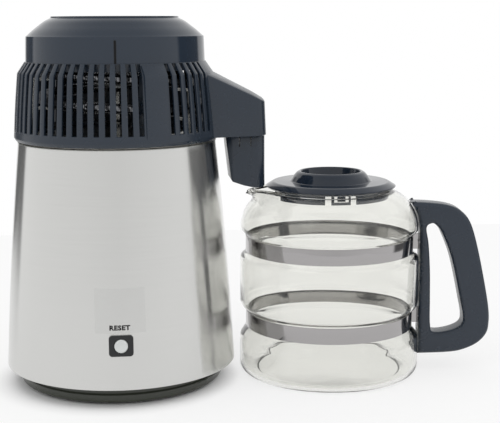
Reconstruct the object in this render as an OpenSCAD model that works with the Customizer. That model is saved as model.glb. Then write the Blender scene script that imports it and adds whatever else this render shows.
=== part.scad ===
// Countertop water distiller: boiler, fan-cooled condenser head and glass carafe.
// Millimetres, +Z up. The origin is on the boiler's axis, on the surface it stands on.
// The reset button faces -Y, the spout arm and the carafe lie toward +X.
// Azimuths run from -Y toward +X, seen from above.

/* [Boiler shell] */
// Outer radius of the steel shell at its lower edge
shell_foot_r = 115; // [105:0.5:140]
// Outer radius of the steel shell at its upper edge
shell_top_r = 97.7; // [92:0.1:104]
// Height of the steel shell
shell_h = 221.6; // [205:0.2:270]
// How far the shell swells beyond a straight cone at mid height
shell_swell = 1.3; // [0.2:0.1:2]
// Sheet thickness of the shell
shell_t = 0.8; // [0.5:0.1:1.2]
// Width of the lip that is turned in at the shell's lower edge
hem_w = 9.2; // [7:0.1:11]

/* [Pan and feet] */
// Height of the rubber feet
foot_h = 2; // [1.5:0.1:4]
// Diameter of a rubber foot
foot_d = 16; // [12:0.5:20]
// How far the feet stand in from the pan's lip
foot_inset = 13; // [11:0.5:20]
// Height from the feet to the shell's lower edge
pan_h = 17; // [15:0.5:22]
// How far the pan's lip stands in from the shell's lower edge
pan_inset = 13.5; // [12.5:0.1:16]
// Wall thickness of the pan
pan_t = 2.5; // [2:0.1:3]

/* [Pot and heater] */
// Sheet thickness of the boiling pot
pot_t = 0.8; // [0.6:0.1:1.2]
// Gap between the upper edge of the shell and the pot's side
pot_gap = 8.5; // [6:0.1:10]
// Radius of the rounding between the pot's side and floor
pot_corner_r = 14; // [8:0.5:20]
// Height from the shell's lower edge to the pot's floor
works_h = 59; // [56:0.5:66]
// Diameter of the centre stud that holds pot, shell and pan together
stud_d = 6; // [5:0.1:8]
// Diameter of the two studs that hold the heater
clamp_stud_d = 4; // [3:0.1:5]
// Radius of the aluminium heat spreader
spreader_r = 62; // [58:0.5:68]
// Thickness of the heat spreader
spreader_t = 3.5; // [2.5:0.1:5]
// Radius at which the heating element runs
element_r = 48; // [45:0.5:52]
// Diameter of the heating element's sheath
element_d = 8.4; // [6.5:0.1:9]
// Thickness of the clamp plate under the element
clamp_t = 1.5; // [1:0.1:2.5]
// Diameter of the two disc thermostats
disc_d = 16; // [14:0.5:18]

/* [Reset button] */
// Diameter of the button's cap
button_d = 13.6; // [11:0.1:17]
// Height of the button's axis above the shell's lower edge
button_up = 41.6; // [36:0.1:46]
// How far the cap stands out of the bezel
button_proud = 1.6; // [1:0.1:2.5]
// How far the button is pressed
button_travel = 2; // [1.5:0.1:2.5]
// Width of the bezel beside the cap
bezel_side = 4.4; // [3.6:0.1:6]
// Width of the bezel above and below the cap
bezel_top = 3.5; // [3:0.1:6]
// How far the bezel stands out of the shell
bezel_t = 2.2; // [1.5:0.1:3]
// Corner radius of the bezel
bezel_corner = 3.2; // [2:0.1:4]
// Diameter of the button's stem
stem_d = 5; // [4:0.1:6]

/* [Power inlet] */
// Height of the inlet's axis above the shell's lower edge
inlet_up = 27; // [24:0.5:30]
// Width of the inlet's body
inlet_w = 27; // [26:0.1:29]
// Height of the inlet's body
inlet_h = 19.5; // [19:0.1:22]
// Depth of the inlet's body behind the shell
inlet_depth = 24; // [20:0.5:28]
// Depth of the plug cavity
cavity_depth = 16; // [14:0.5:17]

/* [Head] */
// Radius of the head's lower rim beyond the shell's upper edge
rim_over = 3.3; // [2:0.1:5]
// Gap between the pot's rim and the head's lower rim
rim_gap = 1.6; // [1:0.1:3]
// Height of the slatted ring up to its sloped shoulder
ring_h = 65.5; // [60:0.5:75]
// Height of the sloped shoulder
slope_h = 10.8; // [8:0.1:14]
// How far the shoulder steps in to the drum
slope_in = 7.7; // [6:0.1:9]
// Wall thickness of the slatted ring
ring_t = 3.2; // [2.6:0.1:3.6]
// Height of the glossy drum
drum_h = 23.9; // [20:0.1:30]
// Height of the dome above the drum
dome_h = 19.3; // [16:0.1:22]
// Radius of the air opening in the top
top_open_r = 60.5; // [56:0.5:61]
// Wall thickness of the drum and dome
cover_t = 2.5; // [2:0.1:3]
// Thickness of the silicone gasket
gasket_h = 3.5; // [2.5:0.1:5]
// Width of one air slot
slot_w = 4.7; // [3.5:0.1:5.2]
// Angle from one slot to the next
slot_pitch = 6; // [6:1:10]
// Azimuth of the first slot beside the middle
slot_phase = 1.5; // [0:0.1:3]
// Half width in degrees of the wall without slots at the back
rear_wall_hw = 42; // [30:1:60]
// Azimuth of the plain panel between the slots
blank_az = 22.5; // [15:0.5:30]
// Width of the plain panel
blank_w = 23; // [18:0.5:26]

/* [Spout arm] */
// Reach of the arm beyond the shell's lower edge
arm_reach = 31; // [28:0.5:36]
// Half of the arm's width at the ring
arm_root_hw = 39; // [34:0.5:42]
// Half of the arm's width at its end
arm_end_hw = 28; // [26:0.5:32]
// Corner radius of the arm's end
arm_corner = 11; // [8:0.5:14]
// Radius of the arched top of the arm
arm_crown_r = 140; // [110:5:200]
// Height of the arm's top at the ring, above the ring's lower rim
arm_root_h = 69.6; // [66:0.1:72]
// Height of the arm's end, above the ring's lower rim
arm_end_h = 41.4; // [38:0.1:48]
// Wall thickness of the arm
arm_t = 2.5; // [2:0.1:3]

/* [Condenser] */
// Radius of the condenser coil, to the middle of its tube
coil_r = 72; // [70:0.5:73]
// Rise of the coil in one turn
coil_pitch = 28; // [22:0.5:30]
// Outer diameter of the condenser tube
tube_d = 9.6; // [8:0.1:10]
// Outer diameter of the ribs on the tube
rib_d = 12; // [11:0.1:12.6]
// Height of the lower row in front, above the ring's lower rim
coil_low = 34.2; // [31:0.1:36]
// Angle that the coil winds above its lowest front point
coil_wind = 450; // [420:5:460]
// Angle over which the upper end winds inward
inward_wind = 75; // [60:5:90]
// Radius at which the upper end of the coil stops
inner_r = 50; // [47:0.5:52]
// Bend radius of the coil's lower end
coil_bend_r = 14; // [12:0.5:16]
// Bend radius of the steam pipe and the drip pipe
pipe_bend_r = 12; // [10:0.5:12.5]
// Wall thickness of the steam pipe and the drip pipe
pipe_t = 0.7; // [0.5:0.1:1]

/* [Fan] */
// Radius of the motor's can
motor_r = 24; // [20:0.5:27]
// Height of the motor's can
motor_h = 30; // [24:0.5:34]
// Diameter of the motor's shaft
shaft_d = 4; // [3:0.1:6]
// Radius of the fan blades
fan_r = 54; // [45:0.5:55]
// Number of fan blades
fan_count = 5; // [3:1:7]
// Radius of the fan's hub
hub_r = 20; // [16:0.5:22]
// Height of the fan
fan_h = 17; // [12:0.5:18]
// Pitch angle of a fan blade
fan_pitch = 32; // [20:1:38]

/* [Nozzle] */
// Length of the nozzle cup along the arm
cup_l = 39.3; // [37:0.1:41]
// Width of the nozzle cup
cup_w = 40; // [37:0.5:44]
// Corner radius of the nozzle cup
cup_corner = 9; // [7:0.5:10]
// Wall thickness of the nozzle cup
cup_t = 2; // [1.5:0.1:2.5]
// Gap between the nozzle and the carafe's rim below it
drip_gap = 3.1; // [2.5:0.1:12]
// Height of the collar that holds the cup in the arm
collar_h = 3.3; // [3:0.1:4]
// Diameter of the outlet in the cup's floor
outlet_d = 10; // [8:0.5:12]

/* [Carafe glass] */
// Outer radius of the carafe's body
jar_r = 91.4; // [80:0.2:112]
// Height of the carafe's glass
jar_h = 190; // [184:0.5:200]
// Gap between the boiler's foot and the carafe
jar_gap = 7.1; // [5:0.1:12]
// Angle by which the carafe is turned from the arm
jar_turn = -6; // [-8:1:8]
// Sideways place of the carafe
jar_side = -4.7; // [-6:0.1:6]
// Wall thickness of the glass
glass_t = 3; // [2.4:0.1:3.4]
// Thickness of the glass floor
glass_floor = 4; // [3:0.1:6]
// Radius of the rounded foot edge
jar_foot_r = 9; // [6:0.5:12]
// Outer radius of the neck
neck_r = 63.5; // [60:0.5:66]
// Height at which the shoulder starts
shoulder_z = 150; // [148:0.5:154]
// How deep the band grooves are pressed in
groove_d = 6.4; // [5:0.1:7]
// Reach of the pouring lip from the carafe's axis
lip_reach = 84.4; // [80:0.2:88]
// How far the pouring lip falls from the neck's rim to its tip
lip_fall = 2; // [1:0.1:3]

/* [Carafe bands] */
// Width of a steel band
band_w = 16; // [13:0.5:17]
// Thickness of a steel band
band_t = 0.6; // [0.4:0.1:0.8]
// Height of the middle of the lower band
band_low_z = 56.5; // [54:0.5:60]
// Height of the middle of the upper band
band_high_z = 134; // [132:0.5:136]
// Diameter of the band screws
band_screw_d = 3; // [2.5:0.1:3.5]

/* [Carafe handle] */
// Thickness of the handle
handle_w = 24; // [20:0.5:28]

/* [Carafe lid] */
// Outer radius of the lid's flange beyond the neck
lid_over = 1.5; // [1:0.1:3]
// Height of the flange's bevel
lid_bevel_h = 5.5; // [4:0.1:7]
// Depth of the skirt inside the neck
skirt_h = 8.2; // [7:0.1:10]
// Radius of the raised ring where it leaves the lid's top
crown_r = 40; // [36:0.5:44]
// Height of the raised ring above the lid's top
crown_h = 10.3; // [8:0.1:13]
// Wall thickness of the lid
lid_t = 2.2; // [1.8:0.1:2.6]
// Diameter of the drip hole in the lid
lid_hole_d = 12; // [8:0.5:16]

/* [Fits] */
// Gap between a piece and the seat that carries it
seat_gap = 0.3; // [0.2:0.05:0.4]
// Radial gap of a shaft or stem in its bore
run_fit = 0.05; // [0.02:0.01:0.1]
// Gap around a part that is pushed through an opening
push_gap = 0.2; // [0.1:0.05:0.3]

/* [Hidden] */
$fn = 64;
eps = 0.01;
far = 400;

plastic = "#33383d";
gloss_plastic = "#22262a";
steel = "#c9cbc8";
brass = "#c8a850";
rubber = "#1c1c1e";

// Levels of the boiler
hem_z = foot_h + pan_h;
shell_top_z = hem_z + shell_h;
pot_rim_z = shell_top_z + pot_t;
pot_floor_z = hem_z + works_h;
hem_r = shell_foot_r - shell_t - hem_w;
pan_r = shell_foot_r - pan_inset;
pot_r = shell_top_r - pot_gap;
pot_rim_r = shell_top_r + 0.2;
pan_floor_z = foot_h + pan_t;
boss_z = foot_h + 6;
stud_nut_h = 5;
spreader_z = pot_floor_z - spreader_t;
element_z = spreader_z - 0.1 - element_d / 2;
clamp_z = element_z - element_d / 2 - seat_gap - clamp_t;
clamp_r = element_r + 10;
clamp_stud_r = 30;
clamp_nut_h = 3.2;
disc_x = 20;
disc_z = clamp_z - 2.2;
cold_pin_d = 6;
cold_pin_z = clamp_z - 8;
element_half = 160;
element_tail = 6;

// Levels of the head
ring_z = pot_rim_z + rim_gap;
rim_r = shell_top_r + rim_over;
knee_z = ring_z + ring_h;
knee_r = rim_r - 5.3;
drum_z = knee_z + slope_h;
slope_r = knee_r - slope_in + 0.3;
drum_r = slope_r - 0.3;
drum_top_z = drum_z + drum_h;
top_z = drum_top_z + dome_h;
plate_z = pot_rim_z + seat_gap + gasket_h;
plate_t = 0.8;
plate_r = rim_r - 7;
flange_z = plate_z + plate_t;
flange_t = 3;
flange_in_r = plate_r - 16;
neck_out_r = drum_r - cover_t - 2 * seat_gap;
neck_in_r = neck_out_r - 3.6;
slot_in_r = neck_in_r + 2.9;
slot_low_z = ring_z + 10.7;
slot_top_z = drum_z - 0.5;
tab_z = drum_z + 1.7;
tab_t = 3;
cover_screw_r = neck_in_r - 5;
plate_screw_r = flange_in_r + 3;
raised_r = flange_in_r - 12;
raised_z = plate_z + 4;

// Levels of the fan
bracket_z = drum_z + 6.7;
bracket_t = 2;
bracket_screw_r = neck_in_r - 5.5;
fan_z = bracket_z + 7;
grille_z = top_z - 5.5;
grille_t = 3;
ledge_in_r = top_open_r - 3;

// Arm and nozzle
arm_x0 = shell_foot_r - 27.5;
arm_x1 = shell_foot_r + arm_reach;
arm_z = ring_z + 2.3;
arm_top_x = arm_x1 - 4.1;
arm_taper = atan((arm_root_hw - arm_end_hw) / (arm_x1 - arm_x0));
arm_slope = atan((arm_root_h - arm_end_h) / (arm_top_x - arm_x0));
cup_x1 = arm_x1 - 2;
cup_x0 = cup_x1 - cup_l;
cup_top_z = arm_z - seat_gap;
cup_low_z = jar_h + drip_gap;
collar_inset = 3;
bore_inset = collar_inset + cup_t;
drip_x = cup_x1 - 18;
outlet_x = cup_x1 - 8;
basket_x0 = cup_x0 + 8;
basket_x1 = cup_x1 - bore_inset - 0.4;
basket_hw = cup_w / 2 - bore_inset - 0.4;
basket_t = 1.4;
basket_low_z = cup_low_z + 12.9;
basket_x = (basket_x0 + basket_x1) / 2;
basket_rim_t = 1.2;
basket_rim_z = cup_top_z + collar_h - basket_rim_t;
basket_rim_inset = collar_inset + 0.9;

// Carafe
jar_x = shell_foot_r + jar_gap + jar_r;
jar_in_r = jar_r - glass_t;
groove_r = jar_r - groove_d;
band_in_r = groove_r + 0.2;
band_out_r = band_in_r + band_t;
ear_u1 = jar_r + 6.2;
ear_gap = 0.6;
ear_t = 1;
band_screw_u = jar_r + 3.4;
neck_in = neck_r - 3.7;
shoulder_max_r = jar_r - 1.4;
shoulder_drop = shoulder_max_r - neck_r - 0.5;
shoulder_rise = jar_h - 2 - shoulder_z;
shoulder_r = (pow(shoulder_drop, 2) + pow(shoulder_rise, 2)) / (2 * shoulder_drop);
shoulder_end = acos((shoulder_r - shoulder_drop) / shoulder_r);
lip_plan_r = neck_r - 1.5;
lip_tip_r = 5;

// Geometry helpers

function arc(c, r, a0, a1, n) =
    [for (i = [0:n]) let (a = a0 + (a1 - a0) * i / n) c + r * [cos(a), sin(a)]];

function unit(v) = v / norm(v);

function flip(points) = [for (i = [len(points) - 1:-1:0]) points[i]];

// One point of a smooth curve between b and c
function curve_point(a, b, c, d, t) =
    0.5 * (2 * b + (c - a) * t + (2 * a - 5 * b + 4 * c - d) * t * t
        + (3 * b - a - 3 * c + d) * t * t * t);

// A smooth open curve through the given points, with n steps from each to the next
function smooth_open(p, n) = concat(
    [for (i = [0:len(p) - 2], k = [0:n - 1])
        curve_point(p[max(i - 1, 0)], p[i], p[i + 1], p[min(i + 2, len(p) - 1)], k / n)],
    [p[len(p) - 1]]);

// A smooth closed curve through the given points
function smooth_loop(p, n) = let (m = len(p))
    [for (i = [0:m - 1], k = [0:n - 1])
        curve_point(p[(i + m - 1) % m], p[i], p[(i + 1) % m], p[(i + 2) % m], k / n)];

function path_tangent(p, i) = unit(p[min(i + 1, len(p) - 1)] - p[max(i - 1, 0)]);

// A direction across the path at each point, carried along without twist
function carried_sides(p, first) =
    [for (i = 0, s = unit(cross(path_tangent(p, 0), first));
        i < len(p);
        i = i + 1,
        s = i < len(p)
            ? unit(s - (s * path_tangent(p, i)) * path_tangent(p, i)) : s) s];

// A closed tube whose ring i has centre, tangent, side and radius
module ring_tube(centres, tangents, sides, radii, n) {
    rings = len(centres);
    points = [for (i = [0:rings - 1], k = [0:n - 1])
        let (a = 360 * k / n, up = cross(sides[i], tangents[i]))
        centres[i] + radii[i] * (cos(a) * sides[i] + sin(a) * up)];
    walls = [for (i = [0:rings - 2], k = [0:n - 1])
        let (a = i * n + k, b = i * n + (k + 1) % n)
        each [[a, b, b + n], [a, b + n, a + n]]];
    start = [for (k = [1:n - 2]) [0, k + 1, k]];
    last = (rings - 1) * n;
    end = [for (k = [1:n - 2]) [last, last + k, last + k + 1]];
    polyhedron(points, concat(walls, start, end));
}

// A wire through hand-chosen points
module wire(route, d, steps = 3, n = 6) {
    p = smooth_open(route, steps);
    t = [for (i = [0:len(p) - 1]) path_tangent(p, i)];
    ring_tube(p, t, carried_sides(p, [0.3, 0.2, 1]), [for (q = p) d / 2], n);
}

// A flat outline of radius and height, turned upright at an azimuth and w thick
module radial_plate(az, w) {
    rotate([0, 0, az - 90]) rotate([90, 0, 0]) linear_extrude(w, center = true) children();
}

// An outline of X and Z, w thick along Y
module upright(w) {
    rotate([90, 0, 0]) linear_extrude(w, center = true) children();
}

module at_azimuth(az, r, z) {
    rotate([0, 0, az]) translate([0, -r, z]) children();
}

module rounded_rect(w, h, r) {
    for (s = [-1, 1], t = [-1, 1]) translate([s * (w / 2 - r), t * (h / 2 - r)]) circle(r);
    square([w, h - 2 * r], center = true);
    square([w - 2 * r, h], center = true);
}

module tube(r_out, r_in, h) {
    difference() {
        cylinder(r = r_out, h = h);
        translate([0, 0, -1]) cylinder(r = r_in, h = h + 2);
    }
}

module hex(across, h) {
    cylinder(d = across / cos(30), h = h, $fn = 6);
}

// A pan-head screw with its tip down and its head's seat at z = 0
module screw(d, l, head_d, head_h) {
    translate([0, 0, -l]) cylinder(d = d, h = l + eps);
    difference() {
        cylinder(d = head_d, h = head_h);
        translate([0, 0, head_h - 1]) hex(d * 0.6, 2);
    }
}

// Boiler shell

function shell_r(z) = let (t = (z - hem_z) / shell_h)
    shell_foot_r + (shell_top_r - shell_foot_r) * t + 4 * shell_swell * t * (1 - t);

function shell_tilt(z) = let (t = (z - hem_z) / shell_h)
    atan((shell_foot_r - shell_top_r - 4 * shell_swell * (1 - 2 * t)) / shell_h);

// Places children on the shell's front at height z, with -Y pointing straight out
module on_shell(z) {
    translate([0, -shell_r(z), z]) rotate([-shell_tilt(z), 0, 0]) children();
}

module on_shell_back(z) {
    rotate([0, 0, 180]) on_shell(z) children();
}

shell_steps = 12;
shell_outline = [for (i = [0:shell_steps])
    let (z = hem_z + shell_h * i / shell_steps) [shell_r(z), z]];
button_z = hem_z + button_up;
inlet_z = hem_z + inlet_up;
socket_z = pot_rim_z - 15.4;
socket_low_z = pot_rim_z - 27.4;
socket_top_z = pot_rim_z - 1.8;
socket_y = shell_top_r + 12.3;
neck_bore_r = button_d / 2 + 0.3;
bezel_neck_r = neck_bore_r + 1.7;

module outer_shell() {
    inner = [for (p = flip(shell_outline)) [p[0] - shell_t, max(p[1], hem_z + shell_t)]];
    color(steel) difference() {
        rotate_extrude() polygon(concat([[hem_r, hem_z]], shell_outline, inner,
            [[hem_r, hem_z + shell_t]]));
        on_shell(button_z) rotate([90, 0, 0])
            cylinder(r = bezel_neck_r + push_gap, h = 20, center = true);
        on_shell_back(inlet_z)
            cube([inlet_w + 2 * push_gap, 20, inlet_h + 2 * push_gap], center = true);
        translate([-10, 60, socket_z - 6]) cube([20, 60, 12]);
    }
}

// Pan and feet

pan_outline = concat(
    [[0, foot_h]],
    arc([pan_r - 3, foot_h + 3], 3, -90, 0, 4),
    [[pan_r, foot_h + 7], [pan_r - 1, foot_h + 8.5], [pan_r - 1, hem_z - 1.8],
     [hem_r + 4, hem_z - 1.8], [hem_r + 4, hem_z], [hem_r - 1.5, hem_z],
     [hem_r - 1.5, hem_z + 5], [hem_r - 1.5 - pan_t, hem_z + 5],
     [pan_r - 1 - pan_t, hem_z - 1.8 - pan_t], [pan_r - 1 - pan_t, pan_floor_z + 3],
     [pan_r - 4 - pan_t, pan_floor_z], [0, pan_floor_z]]);
foot_ring_r = pan_r - foot_inset;

module base_pan() {
    color(gloss_plastic) difference() {
        union() {
            rotate_extrude() polygon(pan_outline);
            translate([0, 0, foot_h]) cylinder(r = stud_d / 2 + 8.5, h = boss_z - foot_h + 2.5);
        }
        translate([0, 0, foot_h - 1]) cylinder(r = stud_d / 2 + 6, h = boss_z - foot_h + 1);
        cylinder(d = stud_d + 2 * push_gap, h = 30);
        for (a = [45:90:315]) at_azimuth(a, foot_ring_r, 0)
            cylinder(d = 6 + 2 * push_gap, h = 20);
    }
}

module rubber_feet() {
    color(rubber) for (a = [45:90:315]) at_azimuth(a, foot_ring_r, 0) {
        cylinder(d = foot_d, h = foot_h);
        cylinder(d = 6, h = pan_floor_z + 2.5);
        translate([0, 0, pan_floor_z]) cylinder(d1 = 9, d2 = 6, h = 2.5);
    }
}

// Pot and heater

pot_low_r = pot_r - 1.2;
pot_outline = concat(
    [[0, pot_floor_z]],
    arc([pot_low_r - pot_corner_r, pot_floor_z + pot_corner_r], pot_corner_r, -90, 0, 6),
    [[pot_r, shell_top_z], [pot_rim_r, shell_top_z], [pot_rim_r, pot_rim_z],
     [pot_r - pot_t, pot_rim_z]],
    arc([pot_low_r - pot_corner_r, pot_floor_z + pot_corner_r],
        pot_corner_r - pot_t, 0, -90, 6),
    [[0, pot_floor_z + pot_t]]);

module boiling_pot() {
    color(steel) rotate_extrude() polygon(pot_outline);
}

module pot_studs() {
    stud_z = boss_z - stud_nut_h + 0.2;
    color(steel) {
        translate([0, 0, stud_z]) cylinder(d = stud_d, h = pot_floor_z - stud_z);
        for (s = [-1, 1]) translate([0, s * clamp_stud_r, clamp_z - clamp_nut_h - 2])
            cylinder(d = clamp_stud_d, h = pot_floor_z - clamp_z + clamp_nut_h + 2);
    }
}

module stud_nuts() {
    color(brass) {
        translate([0, 0, boss_z - stud_nut_h]) difference() {
            hex(10, stud_nut_h);
            translate([0, 0, -1]) cylinder(d = stud_d + 2 * run_fit, h = stud_nut_h + 2);
        }
        for (s = [-1, 1]) translate([0, s * clamp_stud_r, clamp_z - clamp_nut_h]) difference() {
            hex(7, clamp_nut_h);
            translate([0, 0, -1]) cylinder(d = clamp_stud_d + 2 * run_fit, h = clamp_nut_h + 2);
        }
    }
}

module stud_holes(z, h) {
    translate([0, 0, z]) cylinder(d = stud_d + 2 * push_gap, h = h);
    for (s = [-1, 1]) translate([0, s * clamp_stud_r, z])
        cylinder(d = clamp_stud_d + 2 * push_gap, h = h);
}

module heat_spreader() {
    color("#d5d7d8") difference() {
        translate([0, 0, spreader_z]) cylinder(r = spreader_r, h = spreader_t);
        stud_holes(spreader_z - 1, spreader_t + 2);
    }
}

module heater_element() {
    color("#8d8a86") {
        translate([0, 0, element_z]) rotate([0, 0, 90 + 180 - element_half - element_tail])
            rotate_extrude(angle = 2 * (element_half + element_tail))
                translate([element_r, 0]) circle(d = element_d);
        for (s = [-1, 1]) rotate([0, 0, 180 + s * (180 - element_half)])
            translate([0, -element_r, cold_pin_z])
                cylinder(d = cold_pin_d, h = element_z - cold_pin_z);
    }
}

module element_clamp() {
    color(steel) difference() {
        translate([0, 0, clamp_z]) cylinder(r = clamp_r, h = clamp_t);
        stud_holes(clamp_z - 1, clamp_t + 2);
        for (s = [-1, 1]) {
            translate([s * disc_x, 0, clamp_z - 1]) cylinder(d = disc_d + 1.4, h = clamp_t + 2);
            rotate([0, 0, 180 + s * (180 - element_half)])
                translate([0, -element_r, clamp_z - 1])
                    cylinder(d = cold_pin_d + 2, h = clamp_t + 2);
        }
    }
}

// A snap-disc thermostat: metal cup against the spreader, body below and two blade terminals
module disc_thermostat(x) {
    translate([x, 0, disc_z]) {
        cylinder(d = disc_d - 1.2, h = spreader_z - disc_z - seat_gap);
        translate([0, 0, spreader_z - disc_z - seat_gap - 4]) cylinder(d = disc_d, h = 4);
        for (s = [-1, 1]) translate([-2.4, s * 4 - 0.4, -5]) cube([4.8, 0.8, 5 + eps]);
    }
}

module shut_off_thermostat() {
    color("#6b5a44") disc_thermostat(-disc_x);
}

module thermal_cutout() {
    color("#5a4a3a") difference() {
        disc_thermostat(disc_x);
        translate([disc_x, 0, disc_z - 1]) cylinder(d = 3, h = 3);
    }
}

// Reset button

cap_back = 1;
neck_len = 6;
bezel_w = button_d + 2 * bezel_side;
bezel_h = button_d + 2 * bezel_top;
switch_l = 14;

module along_y(y0, y1) {
    translate([0, y1, 0]) rotate([90, 0, 0]) linear_extrude(y1 - y0) children();
}

module reset_bezel() {
    r = shell_r(button_z);
    color(gloss_plastic) on_shell(button_z) difference() {
        union() {
            difference() {
                along_y(-bezel_t, 0.9) rounded_rect(bezel_w, bezel_h, bezel_corner);
                translate([0, r, -30]) cylinder(r = r + 0.1, h = 60);
            }
            along_y(-bezel_t + 0.5, neck_len) circle(bezel_neck_r);
        }
        along_y(-bezel_t - 1, neck_len + 1) circle(neck_bore_r);
    }
}

module reset_button() {
    color("#e8e8e4") on_shell(button_z) {
        along_y(-bezel_t - button_proud + 0.6, cap_back) circle(d = button_d);
        along_y(-bezel_t - button_proud, cap_back) circle(d = button_d - 1.2);
        along_y(cap_back - eps, neck_len + 5) circle(d = stem_d);
    }
}

module reset_switch() {
    color("#2a2a2c") on_shell(button_z) difference() {
        union() {
            along_y(neck_len, neck_len + switch_l) rounded_rect(18, 16, 1);
            for (s = [-1, 1])
                translate([s * 5 - 2.4, neck_len + switch_l - eps, -0.4]) cube([4.8, 5, 0.8]);
        }
        along_y(neck_len - 1, neck_len + 5 + button_travel + 1)
            circle(d = stem_d + 2 * run_fit);
    }
}

// The return spring, four turns of thin wire between the cap and the switch
module reset_spring() {
    spring_r = stem_d / 2 + 1.6;
    wire_r = 0.35;
    turns = 4;
    steps = 10;
    y0 = cap_back + 0.1 + wire_r;
    y1 = neck_len - 0.1 - wire_r;
    p = [for (i = [0:turns * steps]) let (a = 360 * i / steps)
        [spring_r * cos(a), y0 + (y1 - y0) * i / (turns * steps), spring_r * sin(a)]];
    t = [for (i = [0:len(p) - 1]) path_tangent(p, i)];
    s = [for (i = [0:len(p) - 1]) unit(cross(t[i], [0, 1, 0]))];
    color("#9a9c9e") on_shell(button_z) ring_tube(p, t, s, [for (q = p) wire_r], 6);
}

// Power inlet

inlet_flange_t = 3;
pin_places = [[-7, -2], [7, -2], [0, 3]];
pin_w = 2;
pin_h = 4;
pin_tail = inlet_depth + 6;

module power_inlet() {
    r = shell_r(inlet_z);
    color("#1f2022") on_shell_back(inlet_z) difference() {
        union() {
            difference() {
                along_y(-inlet_flange_t, 1.4) rounded_rect(inlet_w + 6, inlet_h + 6.5, 3);
                translate([0, r, -30]) cylinder(r = r + 0.1, h = 60);
            }
            along_y(-1, inlet_depth) square([inlet_w, inlet_h], center = true);
        }
        along_y(-inlet_flange_t - 1, cavity_depth - inlet_flange_t)
            polygon([[-12.25, -8.25], [12.25, -8.25], [12.25, 4.25], [8.25, 8.25],
                [-8.25, 8.25], [-12.25, 4.25]]);
        for (p = pin_places)
            translate([p[0] - pin_w / 2 - 0.05, 0, p[1] - pin_h / 2 - 0.05])
                cube([pin_w + 0.1, inlet_depth + 1, pin_h + 0.1]);
    }
}

module inlet_pins() {
    color(brass) on_shell_back(inlet_z) for (p = pin_places)
        translate([p[0] - pin_w / 2, -1, p[1] - pin_h / 2]) cube([pin_w, pin_tail + 1, pin_h]);
}

// Contacts between body and head, at the rear

contact_x = 6;
pin_y = socket_y - 6;
slot_x = 2.4;
slot_y = 5.2;
blade_t = 1.2;
blade_w = 4;
leaf_t = 0.4;
blade_low_z = socket_top_z - 9.6;
slot_floor_z = socket_z;
plug_low_z = ring_z + 0.9;
plug_top_z = ring_z + 9.7;
spigot_low_z = ring_z + 6.4;
spigot_top_z = ring_z + 9.4;

module fan_socket() {
    color("#1f2022") difference() {
        union() {
            difference() {
                translate([-15, 60, socket_low_z])
                    cube([30, socket_y - 60, socket_top_z - socket_low_z]);
                translate([0, 0, socket_low_z - 1]) cylinder(
                    r1 = shell_r(socket_low_z - 1) + 0.15,
                    r2 = shell_r(shell_top_z) + 0.15, h = shell_top_z - socket_low_z + 1);
                translate([0, 0, shell_top_z - eps]) cylinder(
                    r = pot_rim_r + 0.15, h = 20);
            }
            translate([-10 + push_gap, shell_top_r - 3, socket_z - 6 + push_gap])
                cube([20 - 2 * push_gap, 6, 12 - 2 * push_gap]);
        }
        for (s = [-1, 1]) {
            translate([s * contact_x - slot_x / 2, pin_y - slot_y / 2, slot_floor_z])
                cube([slot_x, slot_y, 30]);
            translate([s * contact_x - slot_x / 2, shell_top_r - 10, slot_floor_z])
                cube([slot_x, pin_y - shell_top_r + 10, 2.4]);
        }
    }
}

module socket_contacts() {
    leaf_x = contact_x + blade_t / 2 + 0.15;
    color(brass) for (s = [0, 1]) mirror([s, 0, 0]) {
        translate([leaf_x, pin_y - 2, slot_floor_z + 0.1])
            cube([leaf_t, 4, socket_top_z - slot_floor_z - 1.1]);
        translate([leaf_x, shell_top_r - 4.2, slot_floor_z + 0.1])
            cube([leaf_t, pin_y - shell_top_r + 4.2, 2.1]);
    }
}

module fan_plug() {
    color("#1f2022") difference() {
        union() {
            difference() {
                translate([-15, 60, plug_low_z])
                    cube([30, socket_y - 60, plug_top_z - plug_low_z]);
                rotate_extrude() polygon([[0, ring_z - 1], [rim_r - 1.85, ring_z - 1],
                    [rim_r - 1.85, ring_z], [rim_r + 0.15, ring_z + 3.5],
                    [rim_r - 0.45, ring_z + 12], [0, ring_z + 12]]);
            }
            translate([-9, rim_r - 7.5, spigot_low_z])
                cube([18, 9, spigot_top_z - spigot_low_z]);
        }
        for (s = [-1, 1]) {
            translate([s * contact_x - blade_t / 2 - 0.05, pin_y - blade_w / 2 - 0.05, 0])
                cube([blade_t + 0.1, blade_w + 0.1, spigot_low_z + 2.15]);
            translate([s * contact_x - blade_t / 2 - 0.05, rim_r - 12, spigot_low_z + 0.75])
                cube([blade_t + 0.1, pin_y - rim_r + 12, 1.4]);
        }
    }
}

module plug_pins() {
    color(brass) for (s = [-1, 1]) {
        translate([s * contact_x - blade_t / 2, pin_y - blade_w / 2, blade_low_z])
            cube([blade_t, blade_w, spigot_low_z + 2.1 - blade_low_z]);
        translate([s * contact_x - blade_t / 2, rim_r - 8.5, spigot_low_z + 0.8])
            cube([blade_t, pin_y - rim_r + 8.5, 1.3]);
    }
}

// Leads

lead_d = 2.4;
fan_lead_d = 2;
inlet_back = shell_r(inlet_z) - pin_tail - 2.5;
switch_back = shell_r(button_z) - neck_len - switch_l - 7.5;
cold_x = element_r * sin(180 - element_half);
cold_y = element_r * cos(180 - element_half);

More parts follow.
